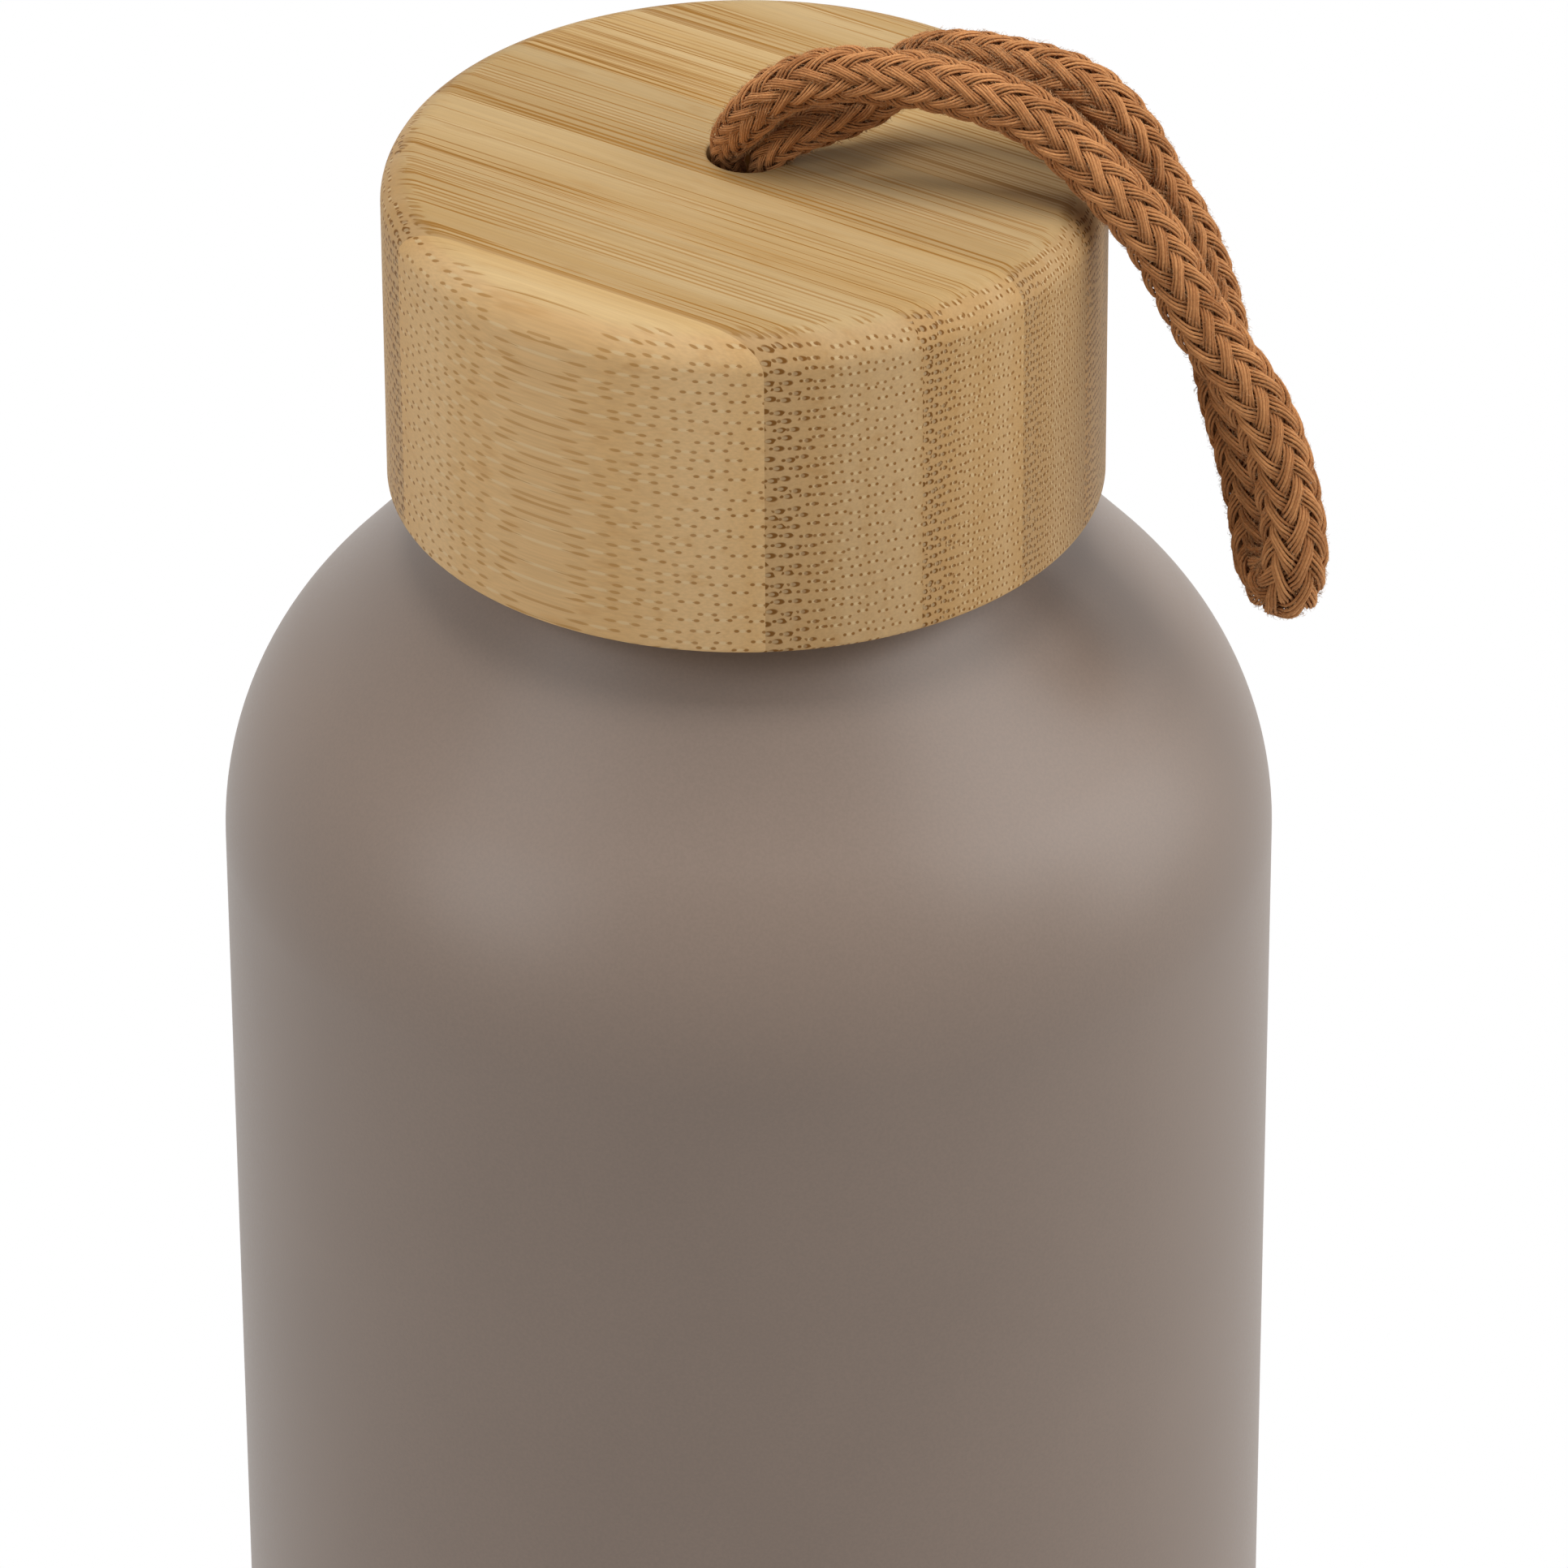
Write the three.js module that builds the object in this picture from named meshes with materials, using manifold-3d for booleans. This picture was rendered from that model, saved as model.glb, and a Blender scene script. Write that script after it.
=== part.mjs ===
// Double-walled steel drink bottle with a bamboo screw cap and a cord loop.
// Millimetres, +Z up, origin on the table under the middle of the base.

import * as THREE from 'three';
import { mergeVertices } from 'three/addons/utils/BufferGeometryUtils.js';
import Module from 'manifold-3d';

const wasm = await Module();
wasm.setup();

// Fits
const CLEARANCE = 0.3;
const THREAD_CLEARANCE = 0.4;

// Outer wall
const BODY_RADIUS = 35.0;
const SIDE_TOP = 170.0;
const SHOULDER_ROUND = 21.8;
const CONE_ANGLE = THREE.MathUtils.degToRad(42);
const NECK_RADIUS = 17.6;
const NECK_ROOT_ROUND = 2.5;
const NECK_REACH = 9.2;
const SHELL_WALL = 0.6;
const FOOT_ROUND = 3.0;
const FOOT_WIDTH = 2.5;

// Inner wall
const LINER_WALL = 0.5;
const VACUUM_GAP = 3.0;
const NECK_GAP = 0.6;
const LINER_BOTTOM = 6.0;
const LINER_CORNER = 5.7;
const LIP_THICKNESS = 0.6;
const LINER_BASE_DOME = 1.0;

// Vacuum space
const FOIL_THICKNESS = 0.2;
const FOIL_MARGIN = 4.0;
const GETTER_OFFSET = 14.0;
const GETTER_RADIUS = 4.0;
const GETTER_HEIGHT = 1.6;
const CLIP_WALL = 0.4;
const CLIP_LEDGE = 1.6;

// Base
const BASE_WALL = 0.6;
const PORT_RADIUS = 1.0;
const PORT_SEAT = 2.5;
const PORT_SLOPE = 2.0;
const PORT_RISE = 1.7;
const SEAL_HEIGHT = 0.9;
const COVER_THICKNESS = 0.4;

// Thread
const THREAD_PITCH = 4.0;
const THREAD_DEPTH = 1.0;
const THREAD_ROOT_WIDTH = 2.1;
const THREAD_CREST_WIDTH = 0.9;
const THREAD_TAPER = THREE.MathUtils.degToRad(45);

// Cap
const CAP_STANDOFF = 0.22;
const CAP_WALL = 2.9;
const CAP_TOP = 5.0;
const CAP_TOP_ROUND = 2.5;
const CAP_BOTTOM_CHAMFER = 0.3;
const CORD_HOLE_RADIUS = 2.75;
const CORD_HOLE_CHAMFER = 0.2;
const CORD_HOLE_X = 0.3;
const CORD_HOLE_Y = 1.2;
const POCKET_RADIUS = 8.8;
const POCKET_DEPTH = 5.0;

// Cap insert and gasket
const INSERT_WALL = 1.4;
const INSERT_CEILING = 1.5;
const INSERT_CHAMFER = 0.3;
const WELL_DEPTH = 4.7;
const WELL_WALL = 1.2;
const BOSS_WIDTH = 1.8;
const GASKET_THICKNESS = 1.4;
const GASKET_WIDTH = 3.9;
const GASKET_EDGE_GAP = 0.6;

// Cord
const CORD_RADIUS = 1.85;
const CORD_HANGING_RADIUS = 2.28;
const CORD_SQUEEZED_RADIUS = 1.05;
const CORD_SQUEEZED_RUN = 5.0;
const CORD_SWELL_RUN = 4.0;
const KNOT_SELF_GAP = 0.4;

// Facets round each piece
const SHELL_SEGMENTS = 48;
const INNER_SEGMENTS = 36;
const SMALL_SEGMENTS = 24;

// Centreline of the cord: up from the knot, over the rim, round the bight and back.
const CORD_ROUTE = [
  [-1.00, 1.50, 215.05],
  [-1.00, 1.50, 219.20],
  [-1.00, 1.05, 220.80],
  [0.45, -0.95, 224.10],
  [1.90, -1.55, 225.90],
  [3.90, -2.00, 227.15],
  [6.45, -2.45, 227.85],
  [9.30, -2.95, 227.85],
  [12.35, -3.35, 227.60],
  [17.35, -4.65, 226.50],
  [19.85, -5.55, 225.20],
  [24.00, -7.35, 221.50],
  [26.10, -8.05, 219.05],
  [29.40, -9.15, 213.05],
  [33.35, -9.90, 206.75],
  [35.25, -10.40, 200.00],
  [35.60, -10.55, 195.90],
  [35.30, -9.75, 193.80],
  [34.60, -7.80, 192.95],
  [33.90, -5.85, 193.80],
  [33.60, -5.05, 195.90],
  [32.55, -4.70, 200.85],
  [31.40, -4.15, 204.95],
  [30.35, -3.55, 211.00],
  [28.75, -3.05, 215.90],
  [26.60, -2.85, 220.05],
  [25.00, -2.65, 223.20],
  [23.25, -2.15, 225.30],
  [21.20, -1.30, 226.45],
  [16.40, 0.75, 226.90],
  [13.55, 1.55, 226.85],
  [11.50, 1.85, 226.40],
  [10.15, 1.75, 225.35],
  [8.50, 1.35, 224.10],
  [6.65, 0.60, 223.40],
  [4.60, 0.15, 222.75],
  [2.85, -0.05, 221.95],
  [1.70, 0.20, 220.65],
  [1.40, 0.85, 219.20],
  [1.40, 0.90, 215.05],
];

/** Points of an arc in the radius and height plane. */
function arc(centreR, centreZ, radius, from, to, steps) {
  const points = [];
  for (let i = 0; i <= steps; i += 1) {
    const angle = from + ((to - from) * i) / steps;
    points.push([centreR + radius * Math.cos(angle), centreZ + radius * Math.sin(angle)]);
  }
  return points;
}

/** Shoulder of a wall face: round, cone and hollow root, from the side up to the neck. */
function shoulder(sideRadius, round, neckRadius, rootRound) {
  const centreR = sideRadius - round;
  const coneR = centreR + round * Math.cos(CONE_ANGLE);
  const coneZ = SIDE_TOP + round * Math.sin(CONE_ANGLE);
  const rootR = neckRadius + rootRound;
  const touchR = rootR - rootRound * Math.cos(CONE_ANGLE);
  const touchZ = coneZ + (coneR - touchR) / Math.tan(CONE_ANGLE);
  const rootZ = touchZ + rootRound * Math.sin(CONE_ANGLE);
  const points = [
    ...arc(centreR, SIDE_TOP, round, 0, CONE_ANGLE, 7),
    ...arc(rootR, rootZ, rootRound, Math.PI + CONE_ANGLE, Math.PI, 3),
  ];
  return { points, touchZ, rootZ };
}

/** Merged, outward-facing triangles of a closed surface. */
function closeSurface(geometry) {
  geometry.deleteAttribute('normal');
  geometry.deleteAttribute('uv');
  const merged = mergeVertices(geometry, 1e-4);
  const position = merged.getAttribute('position');
  const corners = merged.getIndex().array;
  const kept = [];
  const a = new THREE.Vector3();
  const b = new THREE.Vector3();
  const c = new THREE.Vector3();
  let volume = 0;
  for (let i = 0; i < corners.length; i += 3) {
    const [p, q, r] = [corners[i], corners[i + 1], corners[i + 2]];
    if (p !== q && q !== r && r !== p) {
      kept.push(p, q, r);
      a.fromBufferAttribute(position, p);
      b.fromBufferAttribute(position, q);
      c.fromBufferAttribute(position, r);
      volume += a.dot(b.cross(c));
    }
  }
  if (volume < 0) {
    kept.reverse();
  }
  merged.setIndex(kept);
  return merged;
}

/** Solid of revolution about Z from a profile of [radius, height] pairs. */
function turned(profile, segments) {
  const points = profile.map(([r, z]) => new THREE.Vector2(r, z));
  const geometry = new THREE.LatheGeometry(points, segments);
  geometry.rotateX(Math.PI / 2);
  return closeSurface(geometry);
}

/** Ring of revolution: the profile closes on itself. */
function turnedRing(profile, segments) {
  return turned([...profile, profile[0]], segments);
}

/** Surface through a row of rings with equal point counts, open or closed on itself. */
function skin(rings, closed) {
  const sides = rings[0].length;
  const vertices = rings.flat().flatMap((point) => [point.x, point.y, point.z]);
  const index = [];
  const spans = closed ? rings.length : rings.length - 1;
  for (let i = 0; i < spans; i += 1) {
    const next = (i + 1) % rings.length;
    for (let j = 0; j < sides; j += 1) {
      const k = (j + 1) % sides;
      const [a, b, c, d] = [i * sides + j, i * sides + k, next * sides + k, next * sides + j];
      index.push(a, b, c, a, c, d);
    }
  }
  if (!closed) {
    const last = (rings.length - 1) * sides;
    for (let j = 1; j < sides - 1; j += 1) {
      index.push(0, j + 1, j, last, last + j, last + j + 1);
    }
  }
  const geometry = new THREE.BufferGeometry();
  geometry.setAttribute('position', new THREE.Float32BufferAttribute(vertices, 3));
  geometry.setIndex(index);
  return closeSurface(geometry);
}

/** Round tube along a curve, with a radius that follows the length run so far. */
function tube(curve, radiusAt, sides, steps, closed) {
  const frames = curve.computeFrenetFrames(steps, closed);
  const length = curve.getLength();
  const rings = [];
  const count = closed ? steps : steps + 1;
  for (let i = 0; i < count; i += 1) {
    const centre = curve.getPointAt(i / steps);
    const radius = radiusAt((length * i) / steps, length);
    const ring = [];
    for (let j = 0; j < sides; j += 1) {
      const angle = (2 * Math.PI * j) / sides;
      const point = centre.clone();
      point.addScaledVector(frames.normals[i], radius * Math.cos(angle));
      point.addScaledVector(frames.binormals[i], radius * Math.sin(angle));
      ring.push(point);
    }
    rings.push(ring);
  }
  return skin(rings, closed);
}

/** Right-handed thread ridge from a radius inside a wall to its crest, fading at both ends. */
function threadRidge(wallRadius, crestRadius, laneZ, lowZ, highZ) {
  const from = ((lowZ - laneZ) / THREAD_PITCH) * 2 * Math.PI;
  const to = ((highZ - laneZ) / THREAD_PITCH) * 2 * Math.PI;
  const steps = Math.ceil((to - from) / (2 * Math.PI / INNER_SEGMENTS));
  const rings = [];
  for (let i = 0; i <= steps; i += 1) {
    const angle = from + ((to - from) * i) / steps;
    const z = laneZ + (THREAD_PITCH * angle) / (2 * Math.PI);
    const fade = Math.min(1, 0.1 + Math.min(angle - from, to - angle) / THREAD_TAPER);
    const crest = wallRadius + (crestRadius - wallRadius) * fade;
    const ring = [
      [wallRadius, z - THREAD_ROOT_WIDTH / 2],
      [crest, z - THREAD_CREST_WIDTH / 2],
      [crest, z + THREAD_CREST_WIDTH / 2],
      [wallRadius, z + THREAD_ROOT_WIDTH / 2],
    ];
    rings.push(ring.map(([r, h]) => new THREE.Vector3(r * Math.cos(angle), r * Math.sin(angle), h)));
  }
  return skin(rings, false);
}

/** Boolean solid of a closed geometry. */
function toSolid(geometry) {
  const vertProperties = new Float32Array(geometry.getAttribute('position').array);
  const triVerts = new Uint32Array(geometry.getIndex().array);
  return new wasm.Manifold(new wasm.Mesh({ numProp: 3, vertProperties, triVerts }));
}

/** Two closed geometries joined into one. */
function joined(first, second) {
  const result = toSolid(first).add(toSolid(second)).getMesh();
  const geometry = new THREE.BufferGeometry();
  geometry.setAttribute('position', new THREE.Float32BufferAttribute(result.vertProperties, 3));
  geometry.setIndex(Array.from(result.triVerts));
  return geometry;
}

/** Named mesh of one piece. */
function piece(name, geometry, color, roughness, metalness) {
  const material = new THREE.MeshStandardMaterial({ color, roughness, metalness });
  const mesh = new THREE.Mesh(geometry, material);
  geometry.computeVertexNormals();
  mesh.name = name;
  return mesh;
}

// Heights that the pieces share
const outerFace = shoulder(BODY_RADIUS, SHOULDER_ROUND, NECK_RADIUS, NECK_ROOT_ROUND);
const capBottom = outerFace.touchZ + CAP_STANDOFF;
const rimZ = capBottom + NECK_REACH;
const lipUnderZ = rimZ - LIP_THICKNESS;
const shellTop = lipUnderZ - CLEARANCE;
const gasketBottom = rimZ + CLEARANCE;
const gasketTop = gasketBottom + GASKET_THICKNESS;
const ceilingUnder = gasketTop + CLEARANCE;
const insertTop = ceilingUnder + INSERT_CEILING;
const capCeiling = insertTop + CLEARANCE;
const pocketTop = capCeiling + POCKET_DEPTH;
const capTop = pocketTop + CAP_TOP;
const insertBottom = capBottom + CLEARANCE;
const wellFloor = insertTop - WELL_DEPTH;

// Radii that the pieces share
const linerRadius = BODY_RADIUS - SHELL_WALL - VACUUM_GAP;
const linerNeckRadius = NECK_RADIUS - SHELL_WALL - NECK_GAP;
const footInner = BODY_RADIUS - FOOT_ROUND - FOOT_WIDTH;
const threadCrest = NECK_RADIUS + THREAD_DEPTH;
const insertBore = threadCrest + THREAD_CLEARANCE;
const insertThreadCrest = NECK_RADIUS + THREAD_CLEARANCE;
const insertRadius = insertBore + INSERT_WALL;
const capBore = insertRadius + CLEARANCE;
const capRadius = capBore + CAP_WALL;
const gasketOuter = insertBore - GASKET_EDGE_GAP;
const gasketInner = gasketOuter - GASKET_WIDTH;
const bossOuter = gasketInner - CLEARANCE;
const wellRadius = POCKET_RADIUS + WELL_WALL;

// Thread lanes: the insert's ridge runs half a pitch below the neck's.
const neckThreadLow = insertBottom + THREAD_ROOT_WIDTH;
const neckThreadHigh = shellTop - CLEARANCE - THREAD_ROOT_WIDTH / 2;
const insertLane = neckThreadLow - THREAD_PITCH / 2;
const insertThreadLow = insertBottom + CLEARANCE + THREAD_ROOT_WIDTH / 2;
const insertThreadHigh = gasketBottom - CLEARANCE - THREAD_ROOT_WIDTH / 2;

/** Painted outer wall: foot lip, straight side, shoulder and threaded neck. */
function makeOuterShell() {
  const innerFace = shoulder(
    BODY_RADIUS - SHELL_WALL,
    SHOULDER_ROUND - SHELL_WALL,
    NECK_RADIUS - SHELL_WALL,
    NECK_ROOT_ROUND + SHELL_WALL,
  );
  const footR = BODY_RADIUS - FOOT_ROUND;
  const profile = [
    [footInner, 0],
    ...arc(footR, FOOT_ROUND, FOOT_ROUND, -Math.PI / 2, 0, 4),
    ...outerFace.points,
    [NECK_RADIUS, shellTop],
    [NECK_RADIUS - SHELL_WALL, shellTop],
    ...innerFace.points.reverse(),
    ...arc(footR, FOOT_ROUND, FOOT_ROUND - SHELL_WALL, 0, -Math.PI / 2, 4),
    [footInner, SHELL_WALL],
  ];
  const wall = turnedRing(profile, SHELL_SEGMENTS);
  const root = NECK_RADIUS - SHELL_WALL / 2;
  const ridge = threadRidge(root, threadCrest, neckThreadLow, neckThreadLow, neckThreadHigh);
  return joined(wall, ridge);
}

/** Bare inner wall with its rounded bottom corner and the rolled lip of the mouth. */
function makeInnerLiner() {
  const outside = shoulder(linerRadius, SHOULDER_ROUND - SHELL_WALL - VACUUM_GAP, linerNeckRadius, NECK_ROOT_ROUND);
  const inside = shoulder(
    linerRadius - LINER_WALL,
    SHOULDER_ROUND - SHELL_WALL - VACUUM_GAP - LINER_WALL,
    linerNeckRadius - LINER_WALL,
    NECK_ROOT_ROUND + LINER_WALL,
  );
  const cornerR = linerRadius - LINER_CORNER;
  const cornerZ = LINER_BOTTOM + LINER_CORNER;
  const bore = linerNeckRadius - LINER_WALL;
  const roll = LIP_THICKNESS / 2;
  const profile = [
    [cornerR, LINER_BOTTOM + LINER_WALL],
    ...arc(cornerR, cornerZ, LINER_CORNER, -Math.PI / 2, 0, 4),
    ...outside.points,
    [linerNeckRadius, lipUnderZ],
    ...arc(NECK_RADIUS - roll, rimZ - roll, roll, -Math.PI / 2, Math.PI / 2, 4),
    ...arc(bore + roll, rimZ - roll, roll, Math.PI / 2, Math.PI, 2),
    ...inside.points.reverse(),
    ...arc(cornerR, cornerZ, LINER_CORNER - LINER_WALL, 0, -Math.PI / 2, 4).slice(0, -1),
  ];
  return turnedRing(profile, INNER_SEGMENTS);
}

/** Slightly domed disc that closes the inner wall. */
function makeLinerBase() {
  const edge = linerRadius - LINER_CORNER - CLEARANCE;
  const flat = GETTER_OFFSET + GETTER_RADIUS + 2 * CLIP_WALL + CLEARANCE;
  const profile = [
    [0, LINER_BOTTOM],
    [edge, LINER_BOTTOM],
    [edge, LINER_BOTTOM + LINER_WALL],
    [flat, LINER_BOTTOM + LINER_WALL],
    [0, LINER_BOTTOM + LINER_WALL + LINER_BASE_DOME],
  ];
  return turned(profile, INNER_SEGMENTS);
}

/** Copper foil round the inner wall. */
function makeHeatFoil() {
  const inner = linerRadius + CLEARANCE;
  const outer = inner + FOIL_THICKNESS;
  const low = LINER_BOTTOM + LINER_CORNER + FOIL_MARGIN;
  const high = SIDE_TOP - FOIL_MARGIN;
  return turnedRing([[inner, low], [outer, low], [outer, high], [inner, high]], INNER_SEGMENTS);
}

/** Steel cup that holds the getter pellet under the inner base. */
function makeGetterClip() {
  const inner = GETTER_RADIUS + CLEARANCE;
  const outer = inner + CLIP_WALL;
  const top = LINER_BOTTOM - CLEARANCE;
  const ledge = top - CLEARANCE - GETTER_HEIGHT - CLEARANCE;
  const profile = [
    [inner - CLIP_LEDGE, ledge - CLIP_WALL],
    [outer, ledge - CLIP_WALL],
    [outer, top],
    [inner, top],
    [inner, ledge],
    [inner - CLIP_LEDGE, ledge],
  ];
  const geometry = turnedRing(profile, SMALL_SEGMENTS);
  return geometry.translate(GETTER_OFFSET, 0, 0);
}

/** Getter pellet. */
function makeGetter() {
  const high = LINER_BOTTOM - 2 * CLEARANCE;
  const low = high - GETTER_HEIGHT;
  const profile = [[0, low], [GETTER_RADIUS, low], [GETTER_RADIUS, high], [0, high]];
  return turned(profile, SMALL_SEGMENTS).translate(GETTER_OFFSET, 0, 0);
}

/** Dished plate on the foot lip, with the evacuation port in the middle. */
function makeOuterBase() {
  const edge = BODY_RADIUS - SHELL_WALL - FOOT_ROUND + CLEARANCE;
  const low = SHELL_WALL + CLEARANCE;
  const high = low + BASE_WALL;
  const profile = [
    [PORT_RADIUS, low + PORT_RISE],
    [PORT_RADIUS + PORT_SEAT, low + PORT_RISE],
    [PORT_RADIUS + PORT_SEAT + PORT_SLOPE, low],
    [edge, low],
    [edge, high],
    [PORT_RADIUS + PORT_SEAT + PORT_SLOPE + CLEARANCE, high],
    [PORT_RADIUS + PORT_SEAT + CLEARANCE, high + PORT_RISE],
    [PORT_RADIUS, high + PORT_RISE],
  ];
  return turnedRing(profile, INNER_SEGMENTS);
}

/** Solder bead under the evacuation port. */
function makePortSeal() {
  const radius = PORT_RADIUS + PORT_SEAT - 2 * CLEARANCE;
  const high = SHELL_WALL + PORT_RISE;
  const profile = [
    [0, high - SEAL_HEIGHT],
    [radius * 0.6, high - SEAL_HEIGHT * 0.85],
    [radius * 0.92, high - SEAL_HEIGHT * 0.45],
    [radius, high],
    [0, high],
  ];
  return turned(profile, SMALL_SEGMENTS);
}

/** Thin plate that hides the evacuation port. */
function makeBaseCover() {
  const radius = footInner - CLEARANCE;
  const high = SHELL_WALL;
  const low = high - COVER_THICKNESS;
  return turned([[0, low], [radius, low], [radius, high], [0, high]], INNER_SEGMENTS);
}

/** Bamboo cap: rounded top edge, cord hole, knot pocket and wide bore. */
function makeBambooCap() {
  const profile = [
    [capBore, capBottom],
    [capRadius - CAP_BOTTOM_CHAMFER, capBottom],
    [capRadius, capBottom + CAP_BOTTOM_CHAMFER],
    ...arc(capRadius - CAP_TOP_ROUND, capTop - CAP_TOP_ROUND, CAP_TOP_ROUND, 0, Math.PI / 2, 5),
    [CORD_HOLE_RADIUS + CORD_HOLE_CHAMFER, capTop],
    [CORD_HOLE_RADIUS, capTop - CORD_HOLE_CHAMFER],
    [CORD_HOLE_RADIUS, pocketTop],
    [POCKET_RADIUS, pocketTop],
    [POCKET_RADIUS, capCeiling],
    [capBore, capCeiling],
  ];
  const block = turnedRing(profile, SHELL_SEGMENTS);
  const places = block.getAttribute('position');
  const holeReach = (CORD_HOLE_RADIUS + POCKET_RADIUS) / 2;
  for (let i = 0; i < places.count; i += 1) {
    if (Math.hypot(places.getX(i), places.getY(i)) < holeReach) {
      places.setX(i, places.getX(i) + CORD_HOLE_X);
      places.setY(i, places.getY(i) + CORD_HOLE_Y);
    }
  }
  return block;
}

/** Plastic insert: inside thread, ceiling with a boss for the gasket, and the knot's well. */
function makeCapInsert() {
  const profile = [
    [0, wellFloor - WELL_WALL],
    [wellRadius, wellFloor - WELL_WALL],
    [wellRadius, ceilingUnder],
    [bossOuter - BOSS_WIDTH, ceilingUnder],
    [bossOuter - BOSS_WIDTH, ceilingUnder - GASKET_THICKNESS],
    [bossOuter, ceilingUnder - GASKET_THICKNESS],
    [bossOuter, ceilingUnder],
    [insertBore, ceilingUnder],
    [insertBore, insertBottom + INSERT_CHAMFER],
    [insertBore + INSERT_CHAMFER, insertBottom],
    [insertRadius, insertBottom],
    [insertRadius, insertTop],
    [POCKET_RADIUS, insertTop],
    [POCKET_RADIUS, wellFloor],
    [0, wellFloor],
  ];
  const body = turned(profile, INNER_SEGMENTS);
  const root = insertBore + INSERT_WALL / 2;
  const ridge = threadRidge(root, insertThreadCrest, insertLane, insertThreadLow, insertThreadHigh);
  return joined(body, ridge);
}

/** Silicone ring with rounded edges. */
function makeGasket() {
  const edge = GASKET_THICKNESS / 4;
  const profile = [
    [gasketInner + edge, gasketBottom],
    [gasketOuter - edge, gasketBottom],
    [gasketOuter, gasketBottom + edge],
    [gasketOuter, gasketTop - edge],
    [gasketOuter - edge, gasketTop],
    [gasketInner + edge, gasketTop],
    [gasketInner, gasketTop - edge],
    [gasketInner, gasketBottom + edge],
  ];
  return turnedRing(profile, INNER_SEGMENTS);
}

/** Cord: thin where the hole squeezes its legs, fuller on the cap, fullest at the bight. */
function makeCordLoop() {
  const points = CORD_ROUTE.map(([x, y, z]) => new THREE.Vector3(x, y, z));
  const route = new THREE.CatmullRomCurve3(points, false, 'centripetal');
  const radiusAt = (run, length) => {
    const free = Math.max(Math.min(run, length - run) - CORD_SQUEEZED_RUN, 0);
    const grown = 1 - Math.exp(-free / CORD_SWELL_RUN);
    const hanging = (free / (length / 2 - CORD_SQUEEZED_RUN)) ** 1.5;
    const onCap = CORD_SQUEEZED_RADIUS + (CORD_RADIUS - CORD_SQUEEZED_RADIUS) * grown;
    return onCap + (CORD_HANGING_RADIUS - CORD_RADIUS) * hanging;
  };
  return tube(route, radiusAt, 10, 76, false);
}

/** Three-lobed knot curve that fills the pocket and the well. */
class KnotCurve extends THREE.Curve {
  constructor(scale, rise, middleZ) {
    super();
    this.scale = scale;
    this.rise = rise;
    this.middleZ = middleZ;
  }

  getPoint(t, target = new THREE.Vector3()) {
    const angle = 2 * Math.PI * t;
    const x = this.scale * (Math.sin(angle) + 2 * Math.sin(2 * angle));
    const y = this.scale * (Math.cos(angle) - 2 * Math.cos(2 * angle));
    const z = this.middleZ - this.rise * Math.sin(3 * angle);
    return target.set(CORD_HOLE_X + x, CORD_HOLE_Y + y, z);
  }
}

/** Knot of the cord's ends under the hole, pulled as tight as the pocket lets it be. */
function makeCordKnot() {
  const reach = POCKET_RADIUS - CLEARANCE - Math.hypot(CORD_HOLE_X, CORD_HOLE_Y);
  const cordRadius = (reach / Math.sqrt(3) - KNOT_SELF_GAP) / (2 + 1 / Math.sqrt(3));
  const scale = (reach - cordRadius) / 3;
  const rise = (pocketTop - wellFloor) / 2 - CLEARANCE - cordRadius;
  const curve = new KnotCurve(scale, rise, (pocketTop + wellFloor) / 2);
  return tube(curve, () => cordRadius, 8, 78, true);
}

const STEEL = 0xc4c6c8;

const bottle = new THREE.Group();
bottle.add(
  piece('outer_shell', makeOuterShell(), 0x8a7c73, 0.55, 0.1),
  piece('inner_liner', makeInnerLiner(), STEEL, 0.35, 1.0),
  piece('liner_base', makeLinerBase(), STEEL, 0.35, 1.0),
  piece('heat_foil', makeHeatFoil(), 0xb87852, 0.3, 1.0),
  piece('getter_clip', makeGetterClip(), STEEL, 0.4, 1.0),
  piece('getter', makeGetter(), 0x6b6b6e, 0.8, 0.3),
  piece('outer_base', makeOuterBase(), STEEL, 0.4, 1.0),
  piece('port_seal', makePortSeal(), 0x6a4a30, 0.4, 0.0),
  piece('base_cover', makeBaseCover(), STEEL, 0.35, 1.0),
);

const cap = new THREE.Group();
cap.add(
  piece('bamboo_cap', makeBambooCap(), 0xc9a46c, 0.6, 0.0),
  piece('cap_insert', makeCapInsert(), 0xe6e2d8, 0.5, 0.0),
  piece('cap_gasket', makeGasket(), 0xf0eeea, 0.6, 0.0),
);

const cord = new THREE.Group();
cord.add(
  piece('cord_loop', makeCordLoop(), 0x9a6238, 0.9, 0.0),
  piece('cord_knot', makeCordKnot(), 0x9a6238, 0.9, 0.0),
);

const group = new THREE.Group();
group.add(bottle, cap, cord);

export default group;
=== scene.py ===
"""Looks of a double-walled steel drink bottle with a bamboo screw cap and a braided cord loop.

The frame is in metres, +Z up, with the origin on the table under the middle of the base. The classes
below hold their sizes in millimetres, as the part's drawing does, and scale them when they make a mesh.
"""

import logging
import math
import random
from collections.abc import Callable, Sequence
from dataclasses import dataclass, field
from enum import Enum

import bmesh
import bpy
from mathutils import Matrix, Vector


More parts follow.
